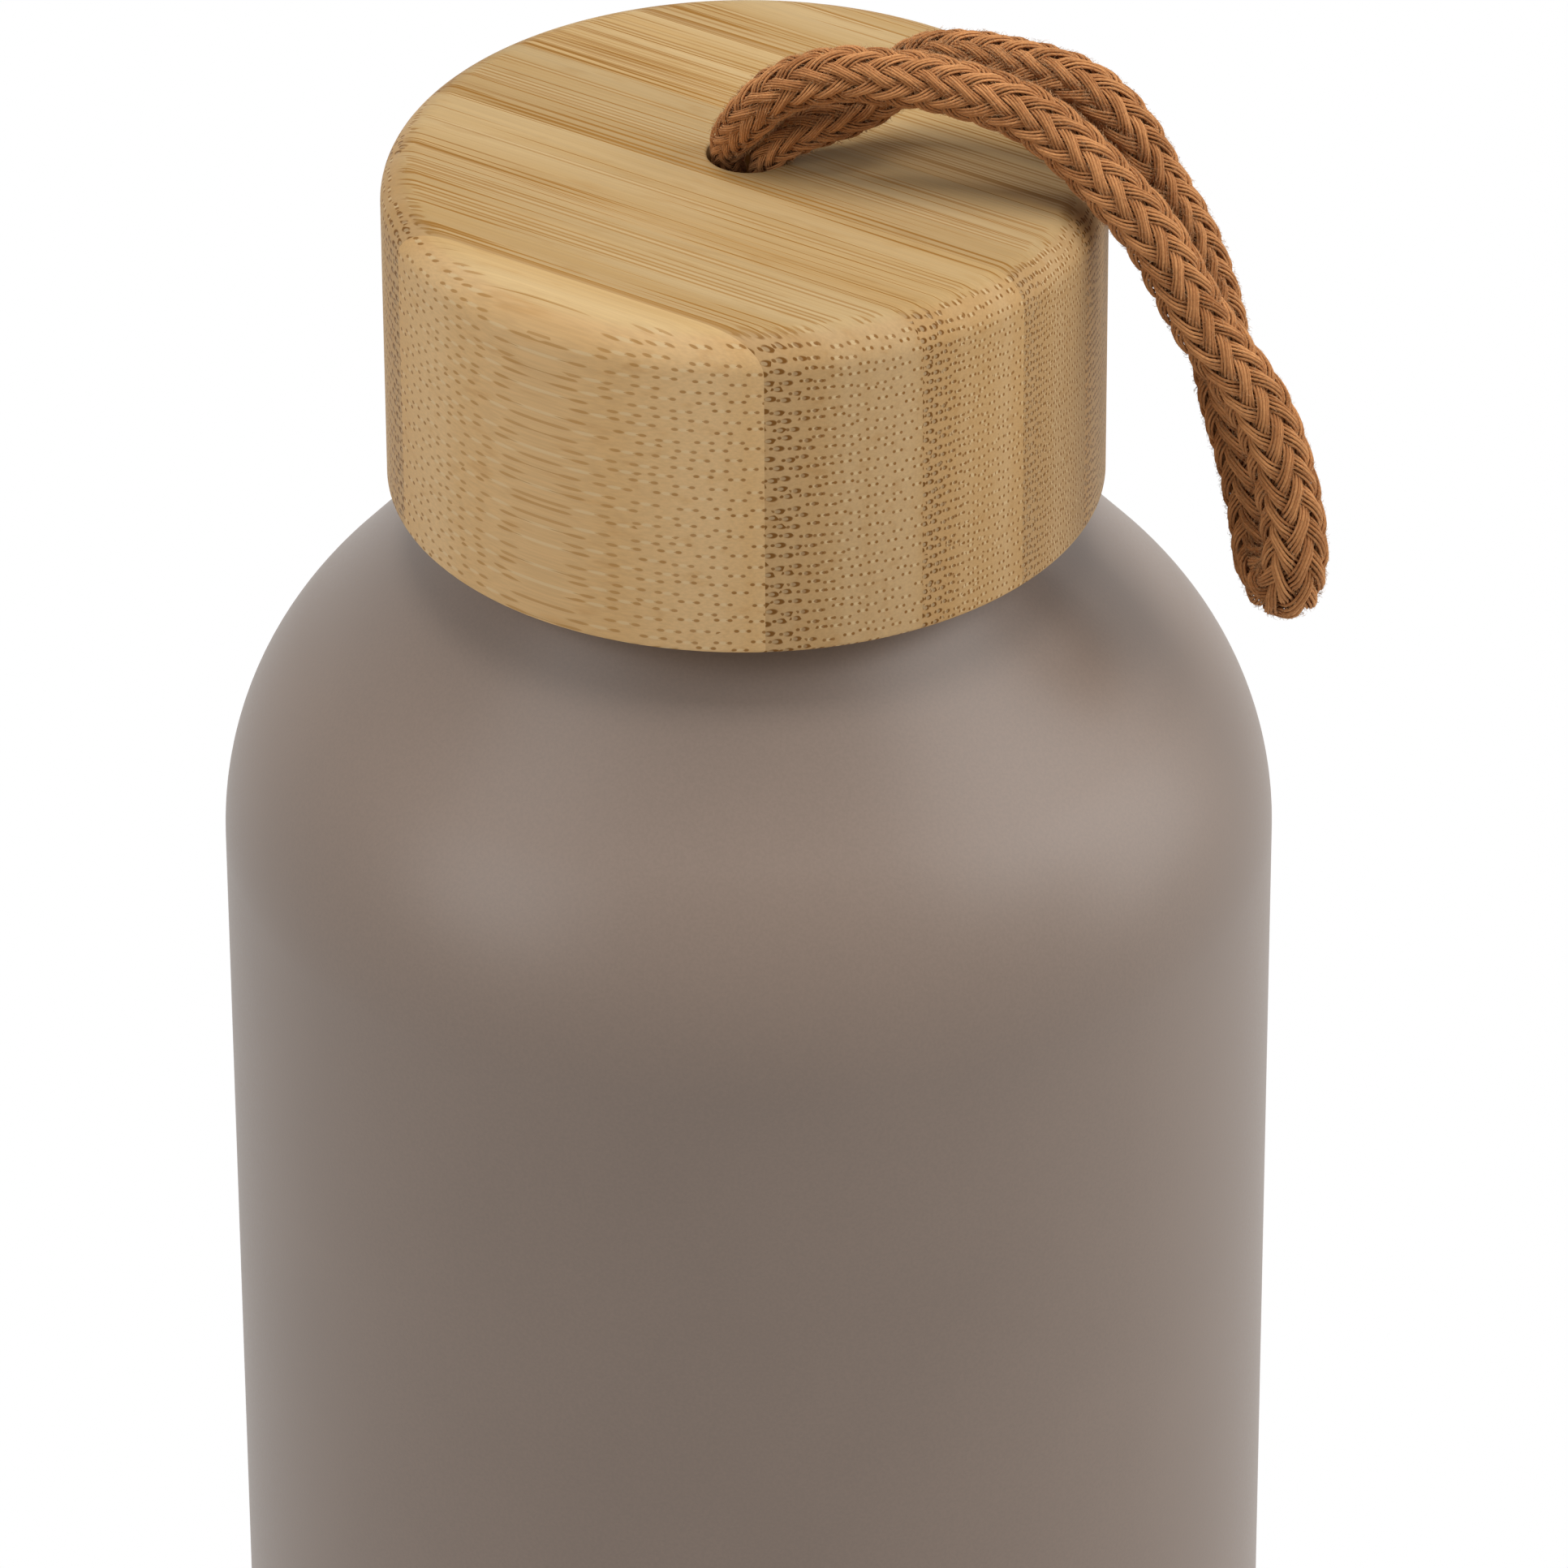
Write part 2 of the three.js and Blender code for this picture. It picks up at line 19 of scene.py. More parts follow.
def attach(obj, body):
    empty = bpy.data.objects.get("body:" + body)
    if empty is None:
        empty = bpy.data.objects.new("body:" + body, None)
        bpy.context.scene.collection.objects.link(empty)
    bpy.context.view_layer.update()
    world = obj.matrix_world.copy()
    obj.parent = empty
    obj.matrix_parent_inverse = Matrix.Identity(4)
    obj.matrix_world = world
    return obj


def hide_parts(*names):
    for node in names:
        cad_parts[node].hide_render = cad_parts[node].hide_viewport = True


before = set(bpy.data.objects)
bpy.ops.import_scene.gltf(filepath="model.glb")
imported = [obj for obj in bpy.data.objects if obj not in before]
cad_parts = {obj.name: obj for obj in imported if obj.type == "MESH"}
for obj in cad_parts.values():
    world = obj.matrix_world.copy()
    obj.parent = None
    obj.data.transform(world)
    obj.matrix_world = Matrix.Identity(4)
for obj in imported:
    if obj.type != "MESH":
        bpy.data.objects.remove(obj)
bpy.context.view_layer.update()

MM = 0.001
TURN = 2.0 * math.pi
WHITE = (1.0, 1.0, 1.0)
LOG = logging.getLogger("drink_bottle")

# Windows of a noise's values, from the widest to the closest.
WIDE, USUAL, CLOSE = (0.2, 0.8), (0.25, 0.75), (0.3, 0.7)

Colour = tuple[float, float, float]
Place = tuple[float, float, float]
Profile = list[tuple[float, float]]
Run = list[tuple[Vector, float]]
Socket = bpy.types.NodeSocket


class Body(Enum):
    """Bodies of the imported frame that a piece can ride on."""

    BOTTLE = "bottle"
    SEAL = "seal"
    CAP = "cap"
    CORD = "cord"


class Slot(Enum):
    """Material slots of the record."""

    PAINT = "paint"
    STEEL = "steel"
    COPPER = "copper"
    GETTER = "getter"
    SOLDER = "solder"
    BAMBOO = "bamboo"
    PLASTIC = "plastic"
    SILICONE = "silicone"
    COTTON = "cotton"


class Lay(Enum):
    """Way that a braid's carrier winds round the cord."""

    RIGHT = 1
    LEFT = -1


# Shader nodes


class Term:
    """Shader value that plain arithmetic can be written with."""

    def __init__(self, sheet: "NodeSheet", socket: Socket) -> None:
        """Holds the output of a node."""
        self.sheet = sheet
        self.socket = socket

    def __add__(self, other: "Value") -> "Term":
        """Sum of two values."""
        return self.sheet.maths("ADD", self, other)

    def __sub__(self, other: "Value") -> "Term":
        """Difference of two values."""
        return self.sheet.maths("SUBTRACT", self, other)

    def __rsub__(self, other: float) -> "Term":
        """Number less this value."""
        return self.sheet.maths("SUBTRACT", other, self)

    def __mul__(self, other: "Value") -> "Term":
        """Product of two values."""
        return self.sheet.maths("MULTIPLY", self, other)

    def __truediv__(self, other: "Value") -> "Term":
        """Quotient of two values."""
        return self.sheet.maths("DIVIDE", self, other)


Value = Term | Socket | float
Tint = Socket | Colour


class NodeSheet:
    """Lays shader nodes into one material or world."""

    def __init__(self, tree: bpy.types.NodeTree) -> None:
        """Starts from an empty tree."""
        self.tree = tree
        self.tree.nodes.clear()

    def add(self, kind: str, inputs: dict | None = None, **settings: object) -> bpy.types.Node:
        """Adds a node.

        Args:
            kind: Node type without the ShaderNode prefix.
            inputs: Values of the node's inputs, by name or number.
            settings: Attributes of the node itself.

        Returns:
            The new node.
        """
        node = self.tree.nodes.new("ShaderNode" + kind)
        for key, value in settings.items():
            setattr(node, key, value)
        for key, value in (inputs or {}).items():
            self.feed(node.inputs[key], value)
        return node

    def feed(self, socket: Socket, value: object) -> None:
        """Links an input to a node, or sets its value.

        Args:
            socket: Input to fill.
            value: Term, output socket or plain value.
        """
        source = value.socket if isinstance(value, Term) else value
        if isinstance(source, Socket):
            self.tree.links.new(source, socket)
        elif socket.type == "RGBA" and len(source) == 3:
            socket.default_value = (*source, 1.0)
        else:
            socket.default_value = source

    def maths(self, operation: str, *values: Value, clamp: bool = False) -> Term:
        """Result of a Math node, kept between 0 and 1 where it is clamped."""
        node = self.add("Math", dict(enumerate(values)), operation=operation, use_clamp=clamp)
        return Term(self, node.outputs[0])

    def reach(self, a: Term, b: Term) -> Term:
        """Distance of a point in a plane from the origin."""
        return self.maths("SQRT", a * a + b * b)

    def ramp(self, value: Value, low: float, high: float, bottom: float = 0.0, top: float = 1.0) -> Term:
        """Smooth step from bottom to top, while the value goes from low to high."""
        inputs = dict(enumerate((value, low, high, bottom, top)))
        return Term(self, self.add("MapRange", inputs, interpolation_type="SMOOTHSTEP").outputs[0])

    def mix(self, share: Value, first: Tint, second: Tint, blend: str = "MIX") -> Socket:
        """Mix of two colours with a share of the second."""
        inputs = {0: share, 6: first, 7: second}
        return self.add("Mix", inputs, data_type="RGBA", blend_type=blend, clamp_factor=True).outputs[2]

    def shaded(self, colour: Tint, level: Term) -> Socket:
        """Colour times a level."""
        return self.mix(1.0, colour, self.joined(level, level, level), "MULTIPLY")

    def joined(self, x: Value, y: Value, z: Value) -> Socket:
        """Three values as one vector."""
        return self.add("CombineXYZ", {0: x, 1: y, 2: z}).outputs[0]

    def split(self, vector: Socket) -> list[Term]:
        """Three values of a vector."""
        return [Term(self, part) for part in self.add("SeparateXYZ", {0: vector}).outputs]

    def noise(self, vector: Socket, scale: float, detail: float = 2.0, rough: float = 0.5) -> Term:
        """Fractal noise between 0 and 1."""
        inputs = {"Vector": vector, "Scale": scale, "Detail": detail, "Roughness": rough}
        return Term(self, self.add("TexNoise", inputs).outputs[0])

    def places(self, turn: float = 0.0) -> Socket:
        """Object coordinates in millimetres, turned about Z.

        Args:
            turn: Turn in radians.

        Returns:
            The coordinates.
        """
        coords = self.add("TexCoord").outputs["Object"]
        inputs = {"Vector": coords, "Rotation": (0.0, 0.0, turn), "Scale": (1.0 / MM,) * 3}
        return self.add("Mapping", inputs).outputs[0]

    def bump(self, height: Term, strength: float, relief: float) -> Socket:
        """Normal bumped by a height of 0 to 1, with its relief in millimetres."""
        inputs = {"Height": height, "Strength": strength, "Distance": relief * MM}
        return self.add("Bump", inputs).outputs[0]

    def surface(self, **inputs: object) -> None:
        """Ends the tree in a Principled shader, with _ for a space in the names of its inputs."""
        shader = self.add("BsdfPrincipled", {key.replace("_", " "): value for key, value in inputs.items()})
        self.add("OutputMaterial", {"Surface": shader.outputs[0]})


# Finishes


@dataclass(frozen=True)
class Finish:
    """Finish of a surface, made once as a material and shared by its pieces."""

    name: str
    slot: Slot

    def lay_nodes(self, sheet: NodeSheet) -> None:
        """Lays the finish's nodes into a new material's empty sheet."""
        raise NotImplementedError

    def material(self) -> bpy.types.Material:
        """Material of this finish.

        Returns:
            The material, made at the first call.
        """
        found = bpy.data.materials.get(self.name)
        if found is None:
            found = bpy.data.materials.new(self.name)
            found.use_nodes = True
            self.lay_nodes(NodeSheet(found.node_tree))
        return found

    def dress(self, piece: bpy.types.Object) -> None:
        """Puts the finish on a piece in place of what it has."""
        piece.data.materials.clear()
        piece.data.materials.append(self.material())


@dataclass(frozen=True)
class SatinPaint(Finish):
    """Baked satin paint with a very fine orange peel."""

    colour: Colour = (0.205, 0.150, 0.116)
    roughness: float = 0.40
    grain: float = 0.22
    relief: float = 0.012

    def lay_nodes(self, sheet: NodeSheet) -> None:
        """Lays the paint's nodes.

        Args:
            sheet: Empty sheet of the new material.
        """
        place = sheet.places()
        peel = sheet.noise(place, 1.0 / self.grain, 3.0, 0.6)
        cloud = sheet.ramp(sheet.noise(place, 0.06), *USUAL, 0.97, 1.03)
        speck = sheet.ramp(peel, *CLOSE, 0.96, 1.04)
        sheet.surface(
            Base_Color=sheet.shaded(self.colour, cloud * speck),
            Roughness=sheet.ramp(peel, *WIDE, self.roughness - 0.03, self.roughness + 0.04),
            IOR=1.5,
            Normal=sheet.bump(peel, 0.5, self.relief),
        )


@dataclass(frozen=True)
class BrushedSteel(Finish):
    """Bare steel with fine marks that run round the bottle."""

    colour: Colour = (0.60, 0.59, 0.57)
    stain: Colour = (0.46, 0.45, 0.43)
    roughness: float = 0.30
    pitch: float = 0.12
    relief: float = 0.01

    def lay_nodes(self, sheet: NodeSheet) -> None:
        """Lays the steel's nodes.

        Args:
            sheet: Empty sheet of the new material.
        """
        place = sheet.places()
        east, north, height = sheet.split(place)
        bearing = sheet.maths("ARCTAN2", north, east)
        lines = sheet.joined(sheet.reach(east, north) / self.pitch, bearing, height / self.pitch)
        brushed = sheet.noise(lines, 1.0, 3.0, 0.7)
        cloud = sheet.ramp(sheet.noise(place, 0.08), *CLOSE, 0.0, 0.12)
        sheet.surface(
            Base_Color=sheet.mix(cloud, self.colour, self.stain),
            Metallic=1.0,
            Roughness=sheet.ramp(brushed, *WIDE, self.roughness - 0.08, self.roughness + 0.12),
            Normal=sheet.bump(brushed, 0.35, self.relief),
        )


@dataclass(frozen=True)
class LaminatedBamboo(Finish):
    """Edge-glued bamboo strips: fibre bundles run along the grain and show as dots on the end grain."""

    grain_turn: float = math.radians(34.0)
    first_seam: float = -18.9
    strip: float = 7.97
    skin_depth: tuple[float, float] = (0.03, 0.46)
    close_columns: float = 11.6
    thinning: float = 2.6
    bundle_rise: float = 1.42
    run: float = 140.0
    top: float = 220.2
    radius: float = 23.6
    # Tones of the strips: partly each stalk's own tone, partly painted light and shade across the cap.
    strip_tones_and_light: tuple[float, ...] = (1.16, 0.95, 0.99, 0.89, 1.07, 1.0, 1.0)
    strip_fineness: tuple[float, ...] = (1.0, 1.0, 1.15, 1.35, 1.30, 1.1, 1.0)
    end_tint: Colour = (1.01, 0.955, 0.96)
    # Painted light: the sides are lifted and the top face darkened, to balance how the lamps light the cap.
    side_painted_light: float = 1.07
    top_painted_shade: float = 0.88
    hole: tuple[float, float] = (0.3, 1.2)
    hole_reach: float = 3.3
    relief: float = 0.04
    pale: Colour = (0.525, 0.366, 0.180)
    honey: Colour = (0.475, 0.307, 0.130)
    amber: Colour = (0.350, 0.170, 0.035)
    rust: Colour = (0.240, 0.106, 0.026)
    bark: Colour = (0.160, 0.064, 0.012)
    cream: Colour = (0.640, 0.480, 0.270)

    def lay_nodes(self, sheet: NodeSheet) -> None:
        """Lays the bamboo's nodes.

        Args:
            sheet: Empty sheet of the new material.
        """
        along, across, height = sheet.split(sheet.places(self.grain_turn))
        row = (across - self.first_seam) / self.strip
        number = sheet.maths("FLOOR", row)
        inward = row - number
        skin = sheet.ramp(inward, *self.skin_depth, 1.0, 0.0)
        on_top = sheet.ramp(height, self.top - 0.5, self.top - 0.05)
        end_grain = sheet.ramp(sheet.maths("ABSOLUTE", along), 0.10 * self.radius, 0.70 * self.radius)

        core, flank, sheath, jitter = self.bundles(sheet, along, height, number, inward, skin)
        dots = sheet.maths("MAXIMUM", sheath, flank * (jitter * 0.25 + 0.75))
        dots = dots * (sheet.maths("MAXIMUM", end_grain, on_top) * 0.38 + 0.62) * (1.0 - on_top * 0.3)
        streaks = self.streaks(sheet, along, across, number, skin) * on_top
        brown = sheet.maths("MAXIMUM", dots, streaks, clamp=True)
        pale_core = core * (0.55 - on_top * 0.35)

        fibre = sheet.noise(sheet.joined(along / 12.0, across / 0.16, height / 0.16), 1.0)
        drift = sheet.noise(sheet.joined(along / 60.0, across / 2.5, number), 1.0)
        stain = sheet.ramp(sheet.noise(sheet.joined(along / 5.0, across, height), 1.1), 0.55, 0.75)
        # The strip tones are partly painted light and shade on whole strips.
        tone = sheet.ramp(fibre, *USUAL, 0.94, 1.05) * self.by_strip(sheet, number, self.strip_tones_and_light)
        # Painted light: lighter sides and a darker top, from how the lamps fall on the cap.
        level = sheet.ramp(height, self.top - 2.2, self.top - 0.05, self.side_painted_light, self.top_painted_shade)

        colour = sheet.mix(sheet.ramp(drift, *CLOSE), self.pale, self.honey)
        colour = sheet.mix(skin * 0.20, colour, self.amber)
        colour = sheet.mix(stain * 0.22, colour, self.amber)
        colour = sheet.mix(1.0 - on_top, sheet.shaded(colour, tone), self.end_tint, "MULTIPLY")
        colour = sheet.mix(pale_core, colour, self.cream)
        ends = sheet.mix(end_grain, self.amber, sheet.mix(skin, self.rust, self.bark))
        colour = sheet.mix(brown, colour, sheet.mix(on_top * 0.7, ends, self.amber))
        colour = sheet.mix(pale_core * skin * 0.8, colour, self.cream)
        # Painted shade in the cord hole, darkest deep in the bore.
        colour = sheet.mix(self.hole_wall_shade(sheet, height), sheet.shaded(colour, level), self.bark)
        sheet.surface(
            Base_Color=colour,
            Roughness=sheet.ramp(fibre, *WIDE, 0.46, 0.58),
            Specular_IOR_Level=0.06,
            Normal=sheet.bump(fibre * 0.4 - brown, 0.16, self.relief),
        )

    def hole_wall_shade(self, sheet: NodeSheet, height: Term) -> Term:
        """Wall of the cord hole, darkened deeper in the bore as painted shade, with a little of its darker
        end grain.

        Args:
            sheet: Sheet of the material.
            height: Height in millimetres.

        Returns:
            The mask of the painted shade.
        """
        east, north, _ = sheet.split(sheet.places())
        reach = sheet.reach(east - self.hole[0], north - self.hole[1])
        # Painted shade, from none near the top to nearly full deeper down.
        bore_shade = sheet.ramp(height, self.top - 1.2, self.top - 0.3, 0.95, 0.0)
        return sheet.maths("LESS_THAN", reach, self.hole_reach) * bore_shade

    @staticmethod
    def by_strip(sheet: NodeSheet, number: Term, values: Sequence[float]) -> Term:
        """Value of the strip: each strip is cut from another stalk, and the tones also hold painted light
        and shade.

        Args:
            sheet: Sheet of the material.
            number: Number of the strip, from -1.
            values: Values of the strips.

        Returns:
            The strip's value.
        """
        value = values[0]
        for i, (before, after) in enumerate(zip(values, values[1:])):
            value = sheet.maths("GREATER_THAN", number, i - 0.5) * (after - before) + value
        return value

    @staticmethod
    def streaks(sheet: NodeSheet, along: Term, across: Term, number: Term, skin: Term) -> Term:
        """Thin brown lines on the top face, where bundles run just under it.

        Args:
            sheet: Sheet of the material.
            along: Place along the grain in millimetres.
            across: Place across the grain in millimetres.
            number: Number of the strip.
            skin: Share of the strip's close outer side.

        Returns:
            The lines' mask.
        """
        lines = sheet.noise(sheet.joined(along / 34.0, across / 0.22, number), 1.0, 1.0)
        cluster = sheet.noise(sheet.joined(along / 70.0, across / 2.4, number), 1.0, 1.0)
        close = skin * 0.13 + sheet.ramp(cluster, 0.35, 0.68, -0.05, 0.03)
        return sheet.ramp(lines + close, 0.62, 0.69)

    def bundles(
        self, sheet: NodeSheet, along: Term, height: Term, number: Term, inward: Term, skin: Term,
    ) -> tuple[Term, Term, Term, Term]:
        """Fibre bundles in staggered rows, close together behind each seam and thinner towards the next.

        Args:
            sheet: Sheet of the material.
            along: Place along the grain in millimetres.
            height: Height in millimetres.
            number: Number of the strip.
            inward: Place across the strip, from 0 to 1.
            skin: Share of the strip's close outer side.

        Returns:
            Masks of the pale core, the brown flanks and the brown sheath, and a random value of each bundle.
        """
        fine = self.by_strip(sheet, number, self.strip_fineness)
        column = (inward * self.close_columns - inward * inward * self.thinning) * fine
        level = height / self.bundle_rise * fine
        place = sheet.joined(
            number * 37.0 + (column + level),
            number * 11.0 + (column - level),
            number * 3.7 + along / self.run,
        )
        cells = sheet.add("TexVoronoi", {"Vector": place, "Scale": 1.0, "Randomness": 0.42}).outputs
        offset = sheet.add("VectorMath", {0: place, 1: cells["Position"]}, operation="SUBTRACT").outputs[0]
        first, second, _ = sheet.split(offset)
        columns_here = inward * (-2.0 * self.thinning) + self.close_columns
        across = (first + second) * sheet.maths("DIVIDE", self.strip / 2, columns_here)
        up = (first - second) * (self.bundle_rise / 2)

        def oval(sideways: Term, wide: float, tall: float, size: Term) -> Term:
            """Soft-edged oval round the bundle's middle or beside it, in millimetres."""
            a, b = sideways / wide, up / tall
            return sheet.ramp((a * a + b * b) / size, 0.45, 1.35, 1.0, 0.0)

        size = fine * fine
        core = oval(across, 0.125, 0.13, size)
        flank = oval(sheet.maths("ABSOLUTE", across) - 0.215, 0.092, 0.120, size)
        sheath = oval(across - 0.11, 0.24, 0.22, sheet.maths("MAXIMUM", skin, 0.01))
        jitter = sheet.add("SeparateColor", {0: cells["Color"]}).outputs[0]
        return core, flank, sheath, Term(sheet, jitter)


@dataclass(frozen=True)
class CottonYarn(Finish):
    """Dyed cotton yarn, with a tone of its own for each yarn in the attribute that the braid writes."""

    dark: Colour = (0.310, 0.120, 0.040)
    light: Colour = (0.680, 0.326, 0.128)
    tone: str = "tone"
    relief: float = 0.05

    def lay_nodes(self, sheet: NodeSheet) -> None:
        """Lays the yarn's nodes.

        Args:
            sheet: Empty sheet of the new material.
        """
        place = sheet.places()
        tone = Term(sheet, sheet.add("Attribute", attribute_name=self.tone).outputs["Fac"])
        fleck = sheet.noise(place, 5.5, 2.0, 0.6)
        blotch = sheet.ramp(sheet.noise(place, 0.5, 1.0), *CLOSE, -0.08, 0.10)
        share = tone * 0.55 + sheet.ramp(fleck, *USUAL, 0.0, 0.35)
        sheet.surface(
            Base_Color=sheet.mix(sheet.maths("ADD", share, blotch, clamp=True), self.dark, self.light),
            Roughness=0.88,
            Specular_IOR_Level=0.1,
            Sheen_Weight=0.28,
            Sheen_Roughness=0.5,
            Sheen_Tint=(0.80, 0.52, 0.30),
            Normal=sheet.bump(fleck, 0.5, self.relief),
        )


@dataclass(frozen=True)
class Moulded(Finish):
    """Moulded plastic or rubber with a faint skin texture."""

    colour: Colour = (0.78, 0.75, 0.70)
    roughness: float = 0.45
    grain: float = 0.35
    relief: float = 0.02

    def lay_nodes(self, sheet: NodeSheet) -> None:
        """Lays the moulding's nodes.

        Args:
            sheet: Empty sheet of the new material.
        """
        place = sheet.places()
        skin = sheet.noise(place, 1.0 / self.grain)
        cloud = sheet.ramp(sheet.noise(place, 0.1), *USUAL, 0.96, 1.02)
        sheet.surface(
            Base_Color=sheet.shaded(self.colour, cloud),
            Roughness=sheet.ramp(skin, *WIDE, self.roughness - 0.05, self.roughness + 0.06),
            Normal=sheet.bump(skin, 0.25, self.relief),
        )


@dataclass(frozen=True)
class RolledMetal(Finish):
    """Thin or cast metal of the sealed space, slightly clouded by heat."""

    colour: Colour = (0.70, 0.36, 0.22)
    stain: Colour = (0.45, 0.20, 0.12)
    metallic: float = 1.0
    roughness: float = 0.32
    grain: float = 1.5
    relief: float = 0.04

    def lay_nodes(self, sheet: NodeSheet) -> None:
        """Lays the metal's nodes.

        Args:
            sheet: Empty sheet of the new material.
        """
        cloud = sheet.noise(sheet.places(), 1.0 / self.grain, 3.0, 0.6)
        sheet.surface(
            Base_Color=sheet.mix(sheet.ramp(cloud, 0.35, 0.75), self.colour, self.stain),
            Metallic=self.metallic,
            Roughness=sheet.ramp(cloud, *WIDE, self.roughness - 0.08, self.roughness + 0.12),
            Normal=sheet.bump(cloud, 0.3, self.relief),
        )


PAINT = SatinPaint("taupe_satin_paint", Slot.PAINT)
STEEL = BrushedSteel("brushed_steel", Slot.STEEL)
BAMBOO = LaminatedBamboo("laminated_bamboo", Slot.BAMBOO)
COTTON = CottonYarn("caramel_cotton_yarn", Slot.COTTON)
FUZZ_COTTON = CottonYarn("pale_cotton_fuzz", Slot.COTTON, (0.450, 0.220, 0.095), (0.660, 0.400, 0.210))
# Painted shade: a dark core that shows as the shade in the gaps between the yarns.
SHADE_CORE_COTTON = CottonYarn("shaded_cotton_core", Slot.COTTON, (0.120, 0.049, 0.018), (0.160, 0.067, 0.027))
PLASTIC = Moulded("ivory_plastic", Slot.PLASTIC)
SILICONE = Moulded("clear_white_silicone", Slot.SILICONE, (0.82, 0.81, 0.78), 0.52, 0.8)
COPPER = RolledMetal("copper_foil", Slot.COPPER)
GETTER = RolledMetal("getter_pellet", Slot.GETTER, (0.16, 0.16, 0.17), (0.09, 0.09, 0.10), 0.4, 0.75, 0.5)
SOLDER = RolledMetal("port_solder", Slot.SOLDER, (0.42, 0.40, 0.37), (0.25, 0.24, 0.22), 0.9, 0.42, 0.9)


# Meshes


def arc(centre: tuple[float, float], radius: float, start: float, end: float, steps: int) -> Profile:
    """Arc in the plane of radius and height, from a start to an end angle in degrees."""
    angles = [math.radians(start + (end - start) * i / steps) for i in range(steps + 1)]
    return [(centre[0] + radius * math.cos(a), centre[1] + radius * math.sin(a)) for a in angles]


def rows(radius: float, low: float, high: float, spans: int) -> Profile:
    """Points up or down a straight wall, both ends among them."""
    return [(radius, low + (high - low) * i / spans) for i in range(spans + 1)]


def eased(share: float) -> float:
    """Smooth step of a share, kept between 0 and 1."""
    kept = min(1.0, max(0.0, share))
    return kept * kept * (3.0 - 2.0 * kept)


@dataclass(frozen=True)
class ThreadRun:
    """One turn and a bit of a screw thread, rolled out of a turned wall."""

    wall: float
    crest: float
    lane: float
    low: float
    high: float
    pitch: float = 4.0
    root_width: float = 2.1
    crest_width: float = 0.9
    taper: float = math.radians(45.0)
    tolerance: float = 0.004

    def rise(self, angle: float, height: float) -> float:
        """Share of the full ridge at a point of the wall.

        Args:
            angle: Angle round the axis.
            height: Height in millimetres.

        Returns:
            0 on the bare wall and 1 on the crest.
        """
        start = (self.low - self.lane) / self.pitch * TURN
        end = (self.high - self.lane) / self.pitch * TURN
        best = 0.0
        for turn in range(-1, 4):
            along = angle % TURN + turn * TURN
            if start <= along <= end:
                off = abs(height - self.lane - self.pitch * along / TURN)
                flank = (self.root_width / 2 - off) / (self.root_width / 2 - self.crest_width / 2)
                best = max(best, eased(flank) * eased(min(along - start, end - along) / self.taper))
        return best

    def roll(self, bm: bmesh.types.BMesh) -> None:
        """Moves the wall's vertices out to the ridge.

        Args:
            bm: Mesh in metres with close rows on the wall.
        """
        for vert in bm.verts:
            radius = math.hypot(vert.co.x, vert.co.y) / MM
            if abs(radius - self.wall) < self.tolerance:
                share = self.rise(math.atan2(vert.co.y, vert.co.x), vert.co.z / MM)
                grown = 1.0 + share * (self.crest - self.wall) / self.wall
                vert.co.x *= grown
                vert.co.y *= grown


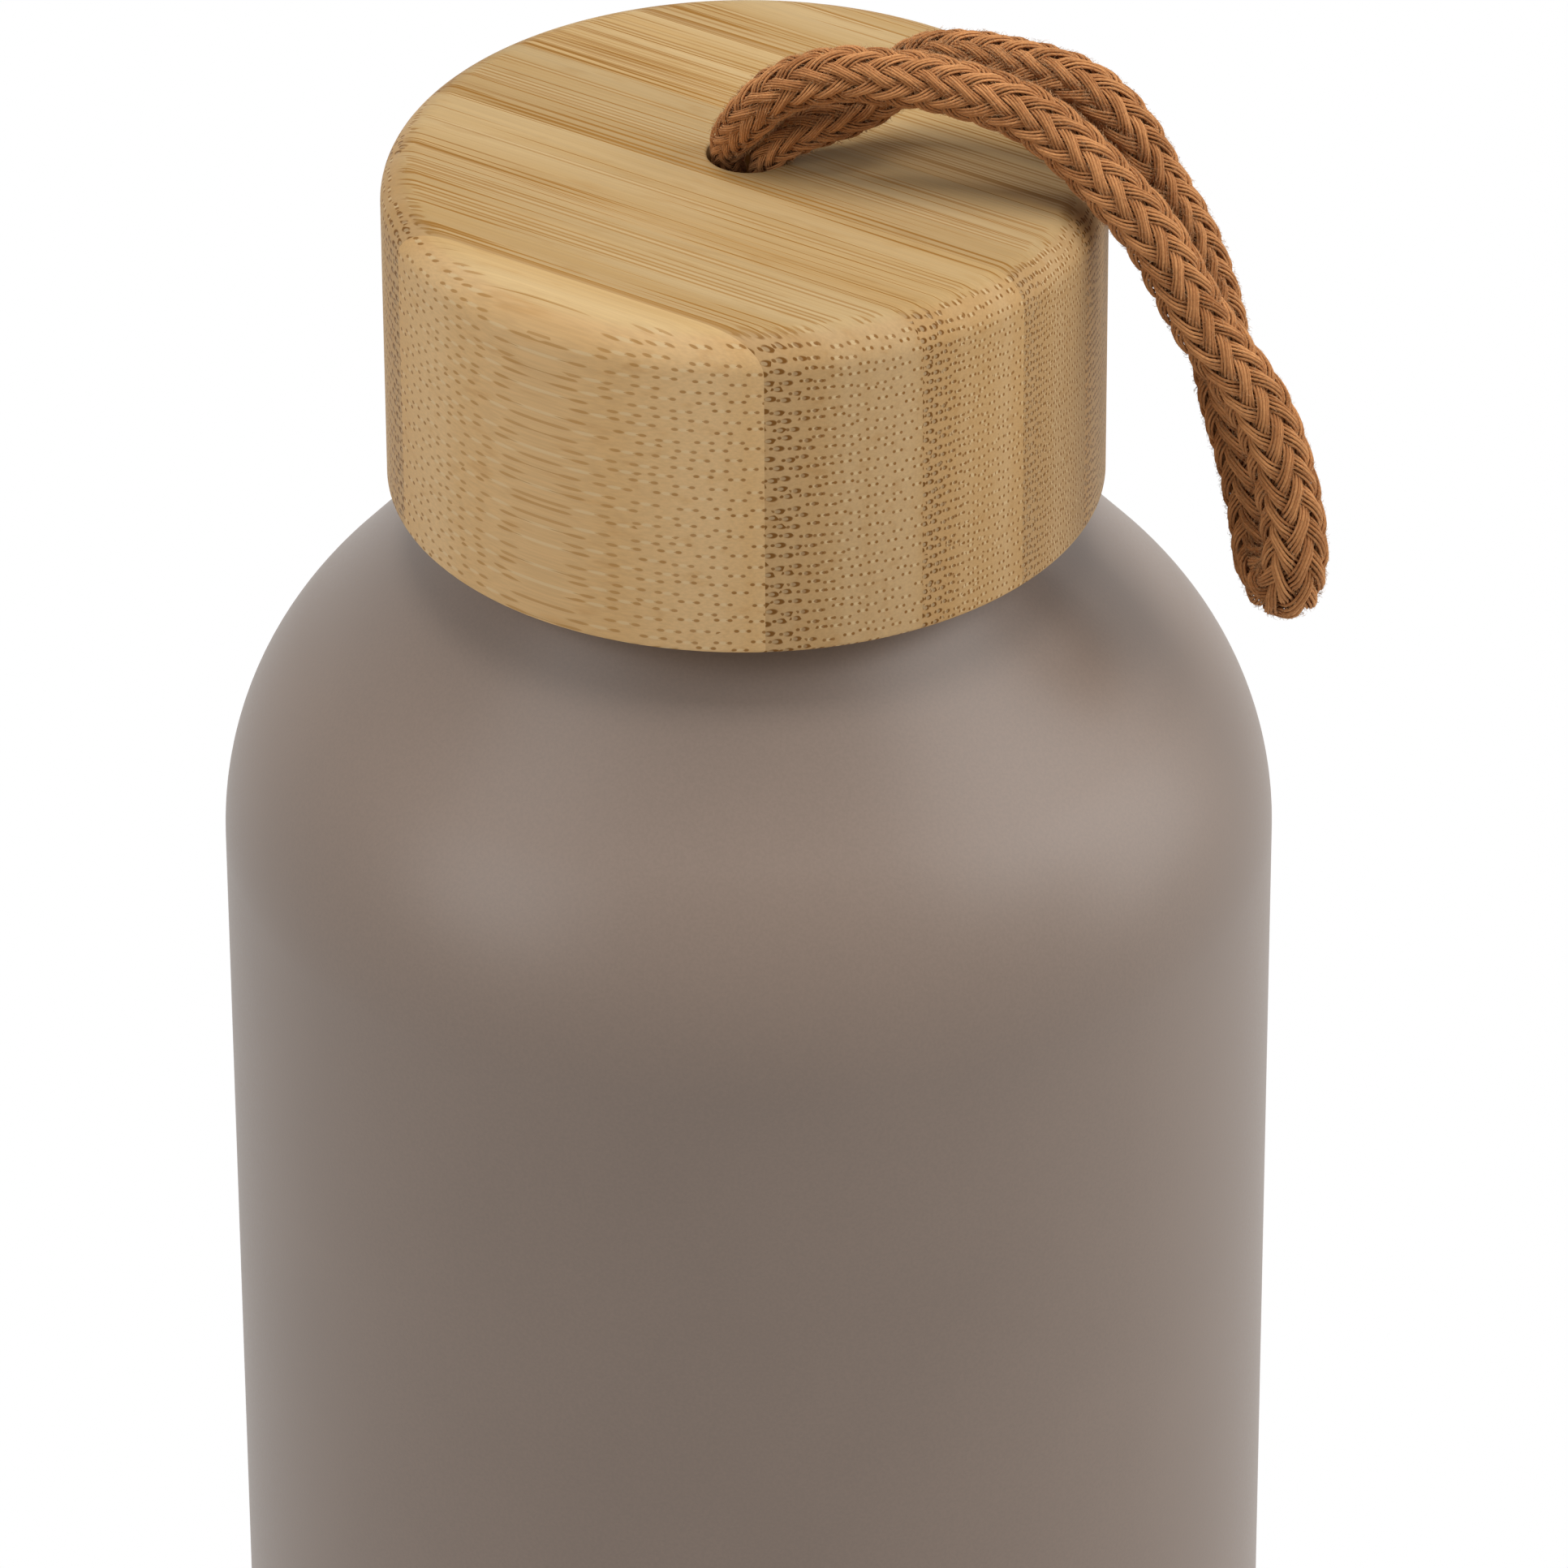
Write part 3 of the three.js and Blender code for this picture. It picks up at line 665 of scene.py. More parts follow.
class Workshop:
    """Makes pieces as objects at the origin, with their place in the mesh."""

    @staticmethod
    def piece(name: str, bm: bmesh.types.BMesh, sharp: float = 40.0) -> bpy.types.Object:
        """Object of a finished mesh.

        Args:
            name: Name of the piece.
            bm: Mesh in metres, freed here.
            sharp: Angle in degrees over which an edge stays sharp.

        Returns:
            The object, linked to the scene.
        """
        for face in bm.faces:
            face.smooth = True
        mesh = bpy.data.meshes.new(name)
        bm.to_mesh(mesh)
        bm.free()
        mesh.set_sharp_from_angle(angle=math.radians(sharp))
        made = bpy.data.objects.new(name, mesh)
        bpy.context.scene.collection.objects.link(made)
        return made

    @staticmethod
    def toned(
        name: str, mesh: bpy.types.Mesh, tones: Sequence[float], sharp: float, sides: int = 0,
    ) -> bpy.types.Object:
        """Piece of a mesh of yarns or fibres.

        Args:
            name: Name of the piece.
            mesh: Mesh in metres, removed here.
            tones: Tone of each vertex, from 0 to 1.
            sharp: Angle in degrees over which an edge stays sharp.
            sides: Sides of the open ends to close.

        Returns:
            The piece, with the tones in its attribute.
        """
        mesh.attributes.new(COTTON.tone, "FLOAT", "POINT").data.foreach_set("value", tones)
        bm = bmesh.new()
        bm.from_mesh(mesh)
        bpy.data.meshes.remove(mesh)
        if sides:
            bmesh.ops.holes_fill(bm, edges=[edge for edge in bm.edges if edge.is_boundary], sides=sides)
        return Workshop.piece(name, bm, sharp)

    @staticmethod
    def turned(
        name: str, profile: Sequence[tuple[float, float]], steps: int, ring: bool = True,
        rounds: dict[int, float] | None = None, thread: ThreadRun | None = None,
    ) -> bpy.types.Object:
        """Piece turned about Z.

        Args:
            name: Name of the piece.
            profile: Radius and height of the profile's points, in millimetres.
            steps: Facets round the piece.
            ring: Whether the profile closes on itself; otherwise it ends on the axis.
            rounds: Rounding in millimetres of the profile's corners, by number.
            thread: Thread rolled out of one wall.

        Returns:
            The piece.
        """
        bm = bmesh.new()
        verts = [bm.verts.new((r * MM, 0.0, z * MM)) for r, z in profile]
        for pair in [*zip(verts, verts[1:]), *([(verts[-1], verts[0])] if ring else [])]:
            bm.edges.new(pair)
        for size in sorted(set((rounds or {}).values())):
            corners = [verts[i] for i, r in rounds.items() if r == size]
            bmesh.ops.bevel(
                bm, geom=corners, offset=size * MM, offset_type="OFFSET", affect="VERTICES",
                segments=5, profile=0.5, material=-1,
            )
        bmesh.ops.spin(
            bm, geom=bm.verts[:] + bm.edges[:], cent=(0, 0, 0), axis=(0, 0, 1), angle=TURN,
            steps=steps, use_merge=True,
        )
        bmesh.ops.remove_doubles(bm, verts=bm.verts[:], dist=1e-6)
        bmesh.ops.recalc_face_normals(bm, faces=bm.faces[:])
        if thread:
            thread.roll(bm)
        return Workshop.piece(name, bm)

    @staticmethod
    def tubes(
        name: str, runs: Sequence[Run], tones: Sequence[float], sides: int = 4, closed: bool = False,
    ) -> bpy.types.Object:
        """Piece of many thin tubes, each with a tone of its own.

        Args:
            name: Name of the piece.
            runs: Points and radii in metres of each tube.
            tones: Tone of each tube, from 0 to 1.
            sides: Sides of each tube, an even number.
            closed: Whether each tube runs back into its start.

        Returns:
            The piece, as a mesh with a tone attribute.
        """
        curve = bpy.data.curves.new(name + "_lines", "CURVE")
        curve.dimensions = "3D"
        curve.bevel_depth = 1.0
        curve.bevel_resolution = sides // 2 - 2
        for run in runs:
            spline = curve.splines.new("POLY")
            spline.points.add(len(run) - 1)
            spline.points.foreach_set("co", [c for point, _ in run for c in (*point, 1.0)])
            spline.points.foreach_set("radius", [radius for _, radius in run])
            spline.use_cyclic_u = closed
        lines = bpy.data.objects.new(name + "_lines", curve)
        bpy.context.scene.collection.objects.link(lines)
        graph = bpy.context.evaluated_depsgraph_get()
        mesh = bpy.data.meshes.new_from_object(lines.evaluated_get(graph))
        bpy.data.objects.remove(lines)
        bpy.data.curves.remove(curve)
        spread = [tone for run, tone in zip(runs, tones) for _ in range(len(run) * sides)]
        return Workshop.toned(name, mesh, spread, 80.0, sides)

    @staticmethod
    def fit(piece: bpy.types.Object, finish: Finish, body: Body, *nodes: str) -> bpy.types.Object:
        """Dresses a piece, seats it on its body and lets it stand for its CAD nodes.

        Args:
            piece: Piece to fit.
            finish: Its finish.
            body: Body that carries it.
            nodes: CAD nodes that it stands for.

        Returns:
            The piece.
        """
        finish.dress(piece)
        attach(piece, body.value)
        if nodes:
            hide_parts(*nodes)
        LOG.info("%s: %d faces, rides on %s", piece.name, len(piece.data.polygons), body.value)
        return piece


# Cord


@dataclass
class Centreline:
    """Smooth line through a cord's points, with frames that don't twist. Millimetres."""

    points: Sequence[Vector]
    closed: bool = False
    spans: int = 24
    length: float = field(init=False)
    fine: list[Vector] = field(init=False)
    runs: list[float] = field(init=False)

    def __post_init__(self) -> None:
        """Measures the line."""
        self.fine = [*self.points, self.points[0]] if self.closed else self.curve()
        self.runs = [0.0]
        for a, b in zip(self.fine, self.fine[1:]):
            self.runs.append(self.runs[-1] + (b - a).length)
        self.length = self.runs[-1]

    def curve(self) -> list[Vector]:
        """Centripetal Catmull-Rom curve through the points.

        Returns:
            Points of the curve, with the line's spans between two given points.
        """
        given = list(self.points)
        padded = [2 * given[0] - given[1], *given, 2 * given[-1] - given[-2]]
        line = []
        for p0, p1, p2, p3 in zip(padded, padded[1:], padded[2:], padded[3:]):
            d0, d1, d2 = (math.sqrt((b - a).length) for a, b in ((p0, p1), (p1, p2), (p2, p3)))
            m1 = ((p1 - p0) / d0 - (p2 - p0) / (d0 + d1) + (p2 - p1) / d1) * d1
            m2 = ((p2 - p1) / d1 - (p3 - p1) / (d1 + d2) + (p3 - p2) / d2) * d1
            for i in range(self.spans):
                t = i / self.spans
                line.append(
                    p1 + m1 * t + (3 * (p2 - p1) - 2 * m1 - m2) * t * t
                    + (2 * (p1 - p2) + m1 + m2) * t ** 3
                )
        return [*line, given[-1]]

    def frames(self, steps: int) -> list[tuple[float, Vector, Vector, Vector]]:
        """Even stations along the line.

        Args:
            steps: Number of spans.

        Returns:
            Run so far, centre and two cross directions of each station.
        """
        stations, span = [], 0
        for i in range(steps + 1):
            run = self.length * i / steps
            while span < len(self.runs) - 2 and self.runs[span + 1] < run:
                span += 1
            share = (run - self.runs[span]) / (self.runs[span + 1] - self.runs[span])
            stations.append((run, self.fine[span].lerp(self.fine[span + 1], share)))
        centres = [centre for _, centre in stations]
        tangents = []
        for i in range(steps + 1):
            before, after = max(i - 1, 0), min(i + 1, steps)
            if self.closed and i in (0, steps):
                before, after = steps - 1, 1
            tangents.append((centres[after] - centres[before]).normalized())
        normals = [tangents[0].orthogonal().normalized()]
        for a, b in zip(tangents, tangents[1:]):
            normals.append((a.rotation_difference(b) @ normals[-1]).normalized())
        if self.closed:
            self.untwist(tangents, normals)
        return [(run, c, n, t.cross(n)) for (run, c), t, n in zip(stations, tangents, normals)]

    @staticmethod
    def untwist(tangents: list[Vector], normals: list[Vector]) -> None:
        """Spreads the turn between a closed line's first and last frame over its length.

        Args:
            tangents: Directions of the line.
            normals: Cross directions, changed in place.
        """
        first, last, axis = normals[0], normals[-1], tangents[0]
        turn = math.atan2(axis.dot(last.cross(first)), last.dot(first))
        for i, axis in enumerate(tangents):
            normals[i] = Matrix.Rotation(turn * i / (len(tangents) - 1), 3, axis) @ normals[i]


@dataclass
class Braid:
    """Round braid: carriers in two lays that pass over two and under two. Millimetres."""

    line: Centreline
    radius_at: Callable[[float], float]
    full_radius: float
    slope: float = 0.77
    carriers: int = 16
    yarns: int = 5
    steps: int = 460
    weave_height: float = 0.26
    crown: float = 0.32
    pull: float = 0.28
    spread: float = 0.94
    stagger: float = 0.5
    steep: float = 2.2
    carrier_tones: tuple[float, float] = (0.3, 0.7)
    yarn_tone: float = 0.45

    def yarn_runs(
        self, lay: Lay, carriers: Sequence[int], maker: random.Random,
    ) -> tuple[list[Run], list[float]]:
        """Lines of the yarns of some carriers of one lay.

        Args:
            lay: Way that the carriers wind.
            carriers: Numbers of the carriers.
            maker: Source of the yarns' tones.

        Returns:
            Points and radii in metres of each yarn, and the tone of each.
        """
        stations = self.line.frames(self.steps)
        turned = [0.0]
        for (before, *_), (after, *_) in zip(stations, stations[1:]):
            turned.append(turned[-1] + self.slope * (after - before) / self.radius_at((before + after) / 2))
        runs, tones = [], []
        for carrier in carriers:
            carrier_tone = maker.uniform(*self.carrier_tones)
            start = 2 * carrier / self.carriers * TURN
            middles = [start + lay.value * angle for angle in turned]
            for yarn in range(self.yarns):
                runs.append(self.yarn(stations, middles, lay, yarn))
                tone = carrier_tone + maker.uniform(-self.yarn_tone, self.yarn_tone)
                tones.append(min(1.0, max(0.0, tone)))
        return runs, tones

    def yarn(self, stations: list[tuple], middles: list[float], lay: Lay, yarn: int) -> Run:
        """Line of one yarn.

        Args:
            stations: Stations of the centreline.
            middles: Angle of its carrier at each station.
            lay: Way that its carrier winds.
            yarn: Number of the yarn in its carrier.

        Returns:
            Points and radii in metres.
        """
        aside = (yarn - (self.yarns - 1) / 2) / self.yarns
        crown = 1.0 - (aside * 2) ** 2
        columns = self.carriers / 4
        gap = 2 * TURN / self.carriers
        width = gap * (1.0 - self.pull) * math.cos(math.atan(self.slope * (1.0 - self.pull)))
        run_points = []
        for (run, centre, normal, cross), middle in zip(stations, middles):
            radius = self.radius_at(run)
            scale = radius / self.full_radius
            thick = 0.5 * self.spread * width * radius / self.yarns
            phase = (middle + self.stagger * aside * gap) * columns + TURN / 8
            floating = lay.value * math.cos(phase)
            angle = middle + aside * gap * self.spread * (1.0 - self.pull * floating)
            angle -= lay.value * self.pull / columns * math.sin(phase)
            over = math.tanh(self.steep * math.cos(phase)) / math.tanh(self.steep)
            top = radius - thick - (self.weave_height + self.crown) * scale
            reach = top + (lay.value * over * self.weave_height + crown * self.crown) * scale
            point = centre + reach * (math.cos(angle) * normal + math.sin(angle) * cross)
            run_points.append((point * MM, thick * MM))
        return run_points


@dataclass
class CarryCord:
    """Braided cotton loop on the cap and the knot that holds its ends. Millimetres."""

    route: tuple[Place, ...] = (
        (-1.00, 1.50, 215.05), (-1.00, 1.50, 219.20), (-1.00, 1.05, 220.80), (0.45, -0.95, 224.10),
        (1.90, -1.55, 225.90), (3.90, -2.00, 227.15), (6.45, -2.45, 227.85), (9.30, -2.95, 227.85),
        (12.35, -3.35, 227.60), (17.35, -4.65, 226.50), (19.85, -5.55, 225.20), (24.00, -7.35, 221.50),
        (26.10, -8.05, 219.05), (29.40, -9.15, 213.05), (33.35, -9.90, 206.75), (35.25, -10.40, 200.00),
        (35.60, -10.55, 195.90), (35.30, -9.75, 193.80), (34.60, -7.80, 192.95), (33.90, -5.85, 193.80),
        (33.60, -5.05, 195.90), (32.55, -4.70, 200.85), (31.40, -4.15, 204.95), (30.35, -3.55, 211.00),
        (28.75, -3.05, 215.90), (26.60, -2.85, 220.05), (25.00, -2.65, 223.20), (23.25, -2.15, 225.30),
        (21.20, -1.30, 226.45), (16.40, 0.75, 226.90), (13.55, 1.55, 226.85), (11.50, 1.85, 226.40),
        (10.15, 1.75, 225.35), (8.50, 1.35, 224.10), (6.65, 0.60, 223.40), (4.60, 0.15, 222.75),
        (2.85, -0.05, 221.95), (1.70, 0.20, 220.65), (1.40, 0.85, 219.20), (1.40, 0.90, 215.05),
    )
    radius: float = 1.85
    hanging_radius: float = 2.28
    squeezed_radius: float = 1.18
    squeezed_run: float = 5.0
    swell_run: float = 4.0
    shade_core_share: float = 0.66
    knot_radius: float = 1.47
    knot_reach: float = 7.26
    knot_rise: float = 3.22
    knot_centre: Place = (0.3, 1.2, 210.2)
    knot_points: int = 240
    knot_slope: float = 0.5
    fibres: int = 19000
    fibre_radius: float = 0.012
    fibre_lengths: tuple[float, float] = (0.15, 0.6)
    fibre_root: float = 0.90
    fibre_knee: tuple[float, float] = (0.5, 0.45)
    fibre_tip: tuple[float, float] = (0.1, 0.7)
    fibre_tones: tuple[float, float] = (0.5, 1.0)
    fuzz_lean: float = 1.3
    bare_steps: int = 22
    seed: int = 7

    def build(self) -> None:
        maker = random.Random(self.seed)
        line = Centreline([Vector(p) for p in self.route])
        braid = Braid(line, lambda run: self.radius_along(run, line.length), self.hanging_radius)
        each = braid.carriers // 2
        halves = {"first": range(each // 2), "second": range(each // 2, each)}
        loop, *others = [
            Workshop.tubes(f"{half}_{lay.name.lower()}_lay", *braid.yarn_runs(lay, carriers, maker), 6)
            for lay in Lay for half, carriers in halves.items()
        ]
        Workshop.fit(loop, COTTON, Body.CORD, "cord_loop")
        for other in others:
            Workshop.fit(other, COTTON, Body.CORD)
        core = Workshop.fit(self.make_shade_core("loop_core", braid), SHADE_CORE_COTTON, Body.CORD)
        fuzz, inner_fuzz = [
            Workshop.fit(self.make_fuzz(name, braid, lean, maker), FUZZ_COTTON, Body.CORD)
            for name, lean in (("loop_fuzz", 0.0), ("inner_fuzz", self.fuzz_lean))
        ]
        knot_braid = self.knot_braid()
        rounds, tones = [], []
        for lay in Lay:
            lay_runs, lay_tones = knot_braid.yarn_runs(lay, range(knot_braid.carriers // 2), maker)
            rounds += [run[:-1] for run in lay_runs]
            tones += lay_tones
        knot = Workshop.tubes("braided_knot", rounds, tones, closed=True)
        Workshop.fit(knot, COTTON, Body.CORD, "cord_knot")
        knot_core = Workshop.fit(self.make_shade_core("knot_core", knot_braid), SHADE_CORE_COTTON, Body.CORD)
        [point * MM for point in line.fine[::6]]

    def radius_along(self, run: float, length: float) -> float:
        """Radius of the cord: thin where the hole squeezes its legs, fullest at the bight.

        Args:
            run: Length from the cord's start.
            length: Length of the whole cord.

        Returns:
            Radius in millimetres.
        """
        free = max(min(run, length - run) - self.squeezed_run, 0.0)
        grown = 1.0 - math.exp(-free / self.swell_run)
        hanging = (free / (length / 2 - self.squeezed_run)) ** 1.5
        on_cap = self.squeezed_radius + (self.radius - self.squeezed_radius) * grown
        return on_cap + (self.hanging_radius - self.radius) * hanging

    def knot_braid(self) -> Braid:
        """Braid of the three-lobed knot.

        Returns:
            The braid, with fewer yarns, since the knot sits inside the cap.
        """
        scale = (self.knot_reach - self.knot_radius) / 3
        points = []
        for i in range(self.knot_points):
            a = TURN * i / self.knot_points
            points.append(Vector(self.knot_centre) + Vector((
                scale * (math.sin(a) + 2 * math.sin(2 * a)),
                scale * (math.cos(a) - 2 * math.cos(2 * a)),
                -self.knot_rise * math.sin(3 * a),
            )))
        line = Centreline(points, closed=True)
        turns = round(self.knot_slope * line.length / self.knot_radius / TURN)
        slope = turns * TURN * self.knot_radius / line.length
        return Braid(line, lambda run: self.knot_radius, self.knot_radius, slope, yarns=3, steps=170)

    def make_shade_core(self, name: str, braid: Braid) -> bpy.types.Object:
        """Filling of a braid, seen between its yarns: a dark tube that stands for painted shade in the gaps.

        Args:
            name: Name of the piece.
            braid: Braid that covers it.

        Returns:
            The core.
        """
        stations = braid.line.frames(braid.steps // 2)
        run = [(centre * MM, braid.radius_at(at) * self.shade_core_share * MM) for at, centre, _, _ in stations]
        closed = braid.line.closed
        return Workshop.tubes(name, [run[:-1] if closed else run], [0.5], 12, closed)

    def make_fuzz(self, name: str, braid: Braid, lean: float, maker: random.Random) -> bpy.types.Object:
        """Loose fibre ends that stand off the free part of the cord, as bent three-sided spikes.

        Args:
            name: Name of the piece.
            braid: Braid of the loop.
            lean: Pull of the fibres towards the side that faces the other leg, where the legs rub.
            maker: Source of the fibres' places.

        Returns:
            The fuzz.
        """
        stations = braid.line.frames(braid.steps)
        verts, faces, tones = [], [], []
        for _ in range(self.fibres):
            at = maker.randrange(self.bare_steps, len(stations) - self.bare_steps)
            run, centre, normal, cross = stations[at]
            along = (stations[at + 1][1] - stations[at - 1][1]).normalized()
            angle = maker.uniform(0.0, TURN)
            across = stations[len(stations) - 1 - at][1] - centre
            across = (across - along * across.dot(along)).normalized()
            out = (math.cos(angle) * normal + math.sin(angle) * cross + lean * across).normalized()
            aside = out.cross(along) * maker.uniform(-1.0, 1.0) + along * maker.uniform(-1.0, 1.0)
            root = centre + out * braid.radius_at(run) * self.fibre_root
            long = maker.uniform(*self.fibre_lengths)
            knee = root + (self.fibre_knee[0] * aside + self.fibre_knee[1] * out) * long
            tip = root + (aside + out * maker.uniform(*self.fibre_tip)) * long
            first = len(verts)
            for middle in (root, knee):
                for i in range(3):
                    turn = TURN * i / 3
                    ring = math.cos(turn) * out.cross(along) + math.sin(turn) * (along + out).normalized()
                    verts.append((middle + ring * self.fibre_radius) * MM)
            verts.append(tip * MM)
            faces.append((first + 2, first + 1, first))
            for i, j in ((0, 1), (1, 2), (2, 0)):
                faces.append((first + i, first + j, first + 3 + j, first + 3 + i))
                faces.append((first + 3 + i, first + 3 + j, first + 6))
            tones += [maker.uniform(*self.fibre_tones)] * (len(verts) - first)
        mesh = bpy.data.meshes.new(name)
        mesh.from_pydata(verts, [], faces)
        return Workshop.toned(name, mesh, tones, 180.0)


# Bottle


@dataclass
class BottleBody:
    """Painted outer wall, bare inner wall and what the two hide. Millimetres."""

    radius: float = 35.0
    side_top: float = 170.0
    shoulder_round: float = 21.8
    cone: float = 42.0
    neck_radius: float = 17.6
    root_round: float = 2.5
    shell_top: float = 205.5
    wall: float = 0.6
    foot_round: float = 3.0
    foot_inner: float = 29.5
    side_margin: float = 8.0
    liner_radius: float = 31.4
    liner_wall: float = 0.5
    liner_round: float = 18.2
    liner_neck: float = 16.4
    liner_bottom: float = 6.0
    liner_corner: float = 5.7
    lip_under: float = 205.8
    rim: float = 206.4
    cover_thickness: float = 0.4
    edge_gap: float = 0.3
    floor_relief: tuple[tuple[float, float], ...] = (
        (20.0, 0.0), (19.4, 0.18), (18.8, 0.06), (14.0, 0.30), (7.0, 0.65), (3.0, 0.85), (0.0, 0.9))
    cover_relief: tuple[tuple[float, float], ...] = ((21.0, 0.0), (21.4, 0.12), (22.6, 0.12), (23.0, 0.0))
    press_round: float = 0.3
    cover_round: float = 0.12
    steps: int = 224
    floor_steps: int = 128
    cover_steps: int = 160
    thread: ThreadRun = ThreadRun(17.6, 18.6, 199.6, 199.6, 204.15)

    def build(self) -> None:
        """Makes the pieces of the bottle and dresses the CAD nodes that stay."""
        Workshop.fit(self.make_shell(), PAINT, Body.BOTTLE, "outer_shell")
        Workshop.fit(self.make_liner(), STEEL, Body.BOTTLE, "inner_liner")
        Workshop.fit(self.make_liner_floor(), STEEL, Body.BOTTLE, "liner_base")
        Workshop.fit(self.make_foot_cover(), STEEL, Body.BOTTLE, "base_cover")
        kept = {
            "heat_foil": COPPER, "getter_clip": STEEL, "getter": GETTER,
            "outer_base": STEEL, "port_seal": SOLDER,
        }
        for node, finish in kept.items():
            finish.dress(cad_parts[node])
            LOG.info("%s: CAD node dressed as %s", node, finish.name)

    def shoulder(self, side: float, round_: float, neck: float, root: float) -> Profile:
        """Face of a wall from its straight side over the shoulder to the neck.

        Args:
            side: Radius of the side.
            round_: Radius of the shoulder's round.
            neck: Radius of the neck.
            root: Radius of the hollow at the neck's root.

        Returns:
            Points from the side up to the neck.
        """
        angle = math.radians(self.cone)
        cone_r = side - round_ + round_ * math.cos(angle)
        cone_z = self.side_top + round_ * math.sin(angle)
        touch_r = neck + root - root * math.cos(angle)
        touch_z = cone_z + (cone_r - touch_r) / math.tan(angle)
        middle = (neck + root, touch_z + root * math.sin(angle))
        return [
            *arc((side - round_, self.side_top), round_, 0.0, self.cone, 40),
            *arc(middle, root, 180.0 + self.cone, 180.0, 10),
        ]

    def make_shell(self) -> bpy.types.Object:
        """Outer wall with its rolled thread.

        Returns:
            The painted shell.
        """
        face = self.shoulder(self.radius, self.shoulder_round, self.neck_radius, self.root_round)
        back = self.shoulder(
            self.radius - self.wall, self.shoulder_round - self.wall,
            self.neck_radius - self.wall, self.root_round + self.wall,
        )
        foot = (self.radius - self.foot_round, self.foot_round)
        profile = [
            (self.foot_inner, 0.0),
            *arc(foot, self.foot_round, -90.0, 0.0, 10),
            *rows(self.radius, self.foot_round + self.side_margin, self.side_top - self.side_margin, 8),
            *face,
            *rows(self.neck_radius, face[-1][1] + 0.15, self.shell_top, 46),
            (self.neck_radius - self.wall, self.shell_top),
            *reversed(back),
            *arc(foot, self.foot_round - self.wall, 0.0, -90.0, 6),
            (self.foot_inner, self.wall),
        ]
        return Workshop.turned("painted_shell", profile, self.steps, thread=self.thread)

    def make_liner(self) -> bpy.types.Object:
        """Inner wall with its rounded bottom corner and rolled lip.

        Returns:
            The steel liner.
        """
        bore = self.liner_neck - self.liner_wall
        out = self.shoulder(self.liner_radius, self.liner_round, self.liner_neck, self.root_round)
        inside = self.shoulder(
            self.liner_radius - self.liner_wall, self.liner_round - self.liner_wall, bore,
            self.root_round + self.liner_wall,
        )
        corner = (self.liner_radius - self.liner_corner, self.liner_bottom + self.liner_corner)
        roll = (self.rim - self.lip_under) / 2
        profile = [
            (corner[0], self.liner_bottom + self.liner_wall),
            *arc(corner, self.liner_corner, -90.0, 0.0, 12),
            *out,
            (self.liner_neck, self.lip_under),
            *arc((self.neck_radius - roll, self.rim - roll), roll, -90.0, 90.0, 8),
            *arc((bore + roll, self.rim - roll), roll, 90.0, 180.0, 6),
            *reversed(inside),
            *arc(corner, self.liner_corner - self.liner_wall, 0.0, -90.0, 12)[:-1],
        ]
        return Workshop.turned("steel_liner", profile, self.steps)

    def make_liner_floor(self) -> bpy.types.Object:
        """Domed floor of the liner with a pressed ring.

        Returns:
            The floor.
        """
        edge = self.liner_radius - self.liner_corner - self.edge_gap
        low, top = self.liner_bottom, self.liner_bottom + self.liner_wall
        profile = [(0.0, low), (edge, low), (edge, top), *((r, top + rise) for r, rise in self.floor_relief)]
        rounds = dict.fromkeys((4, 5), self.press_round)
        return Workshop.turned("liner_floor", profile, self.floor_steps, ring=False, rounds=rounds)

    def make_foot_cover(self) -> bpy.types.Object:
        """Plate under the foot with a soft edge and a shallow pressed ring.

        Returns:
            The cover.
        """
        edge = self.foot_inner - self.edge_gap
        low = self.wall - self.cover_thickness
        ring = [(r, low + rise) for r, rise in self.cover_relief]
        profile = [(0.0, low), *ring, (edge, low), (edge, self.wall), (0.0, self.wall)]
        rounds = dict.fromkeys((5, 6), self.cover_round)
        return Workshop.turned("foot_cover", profile, self.cover_steps, ring=False, rounds=rounds)


# Cap


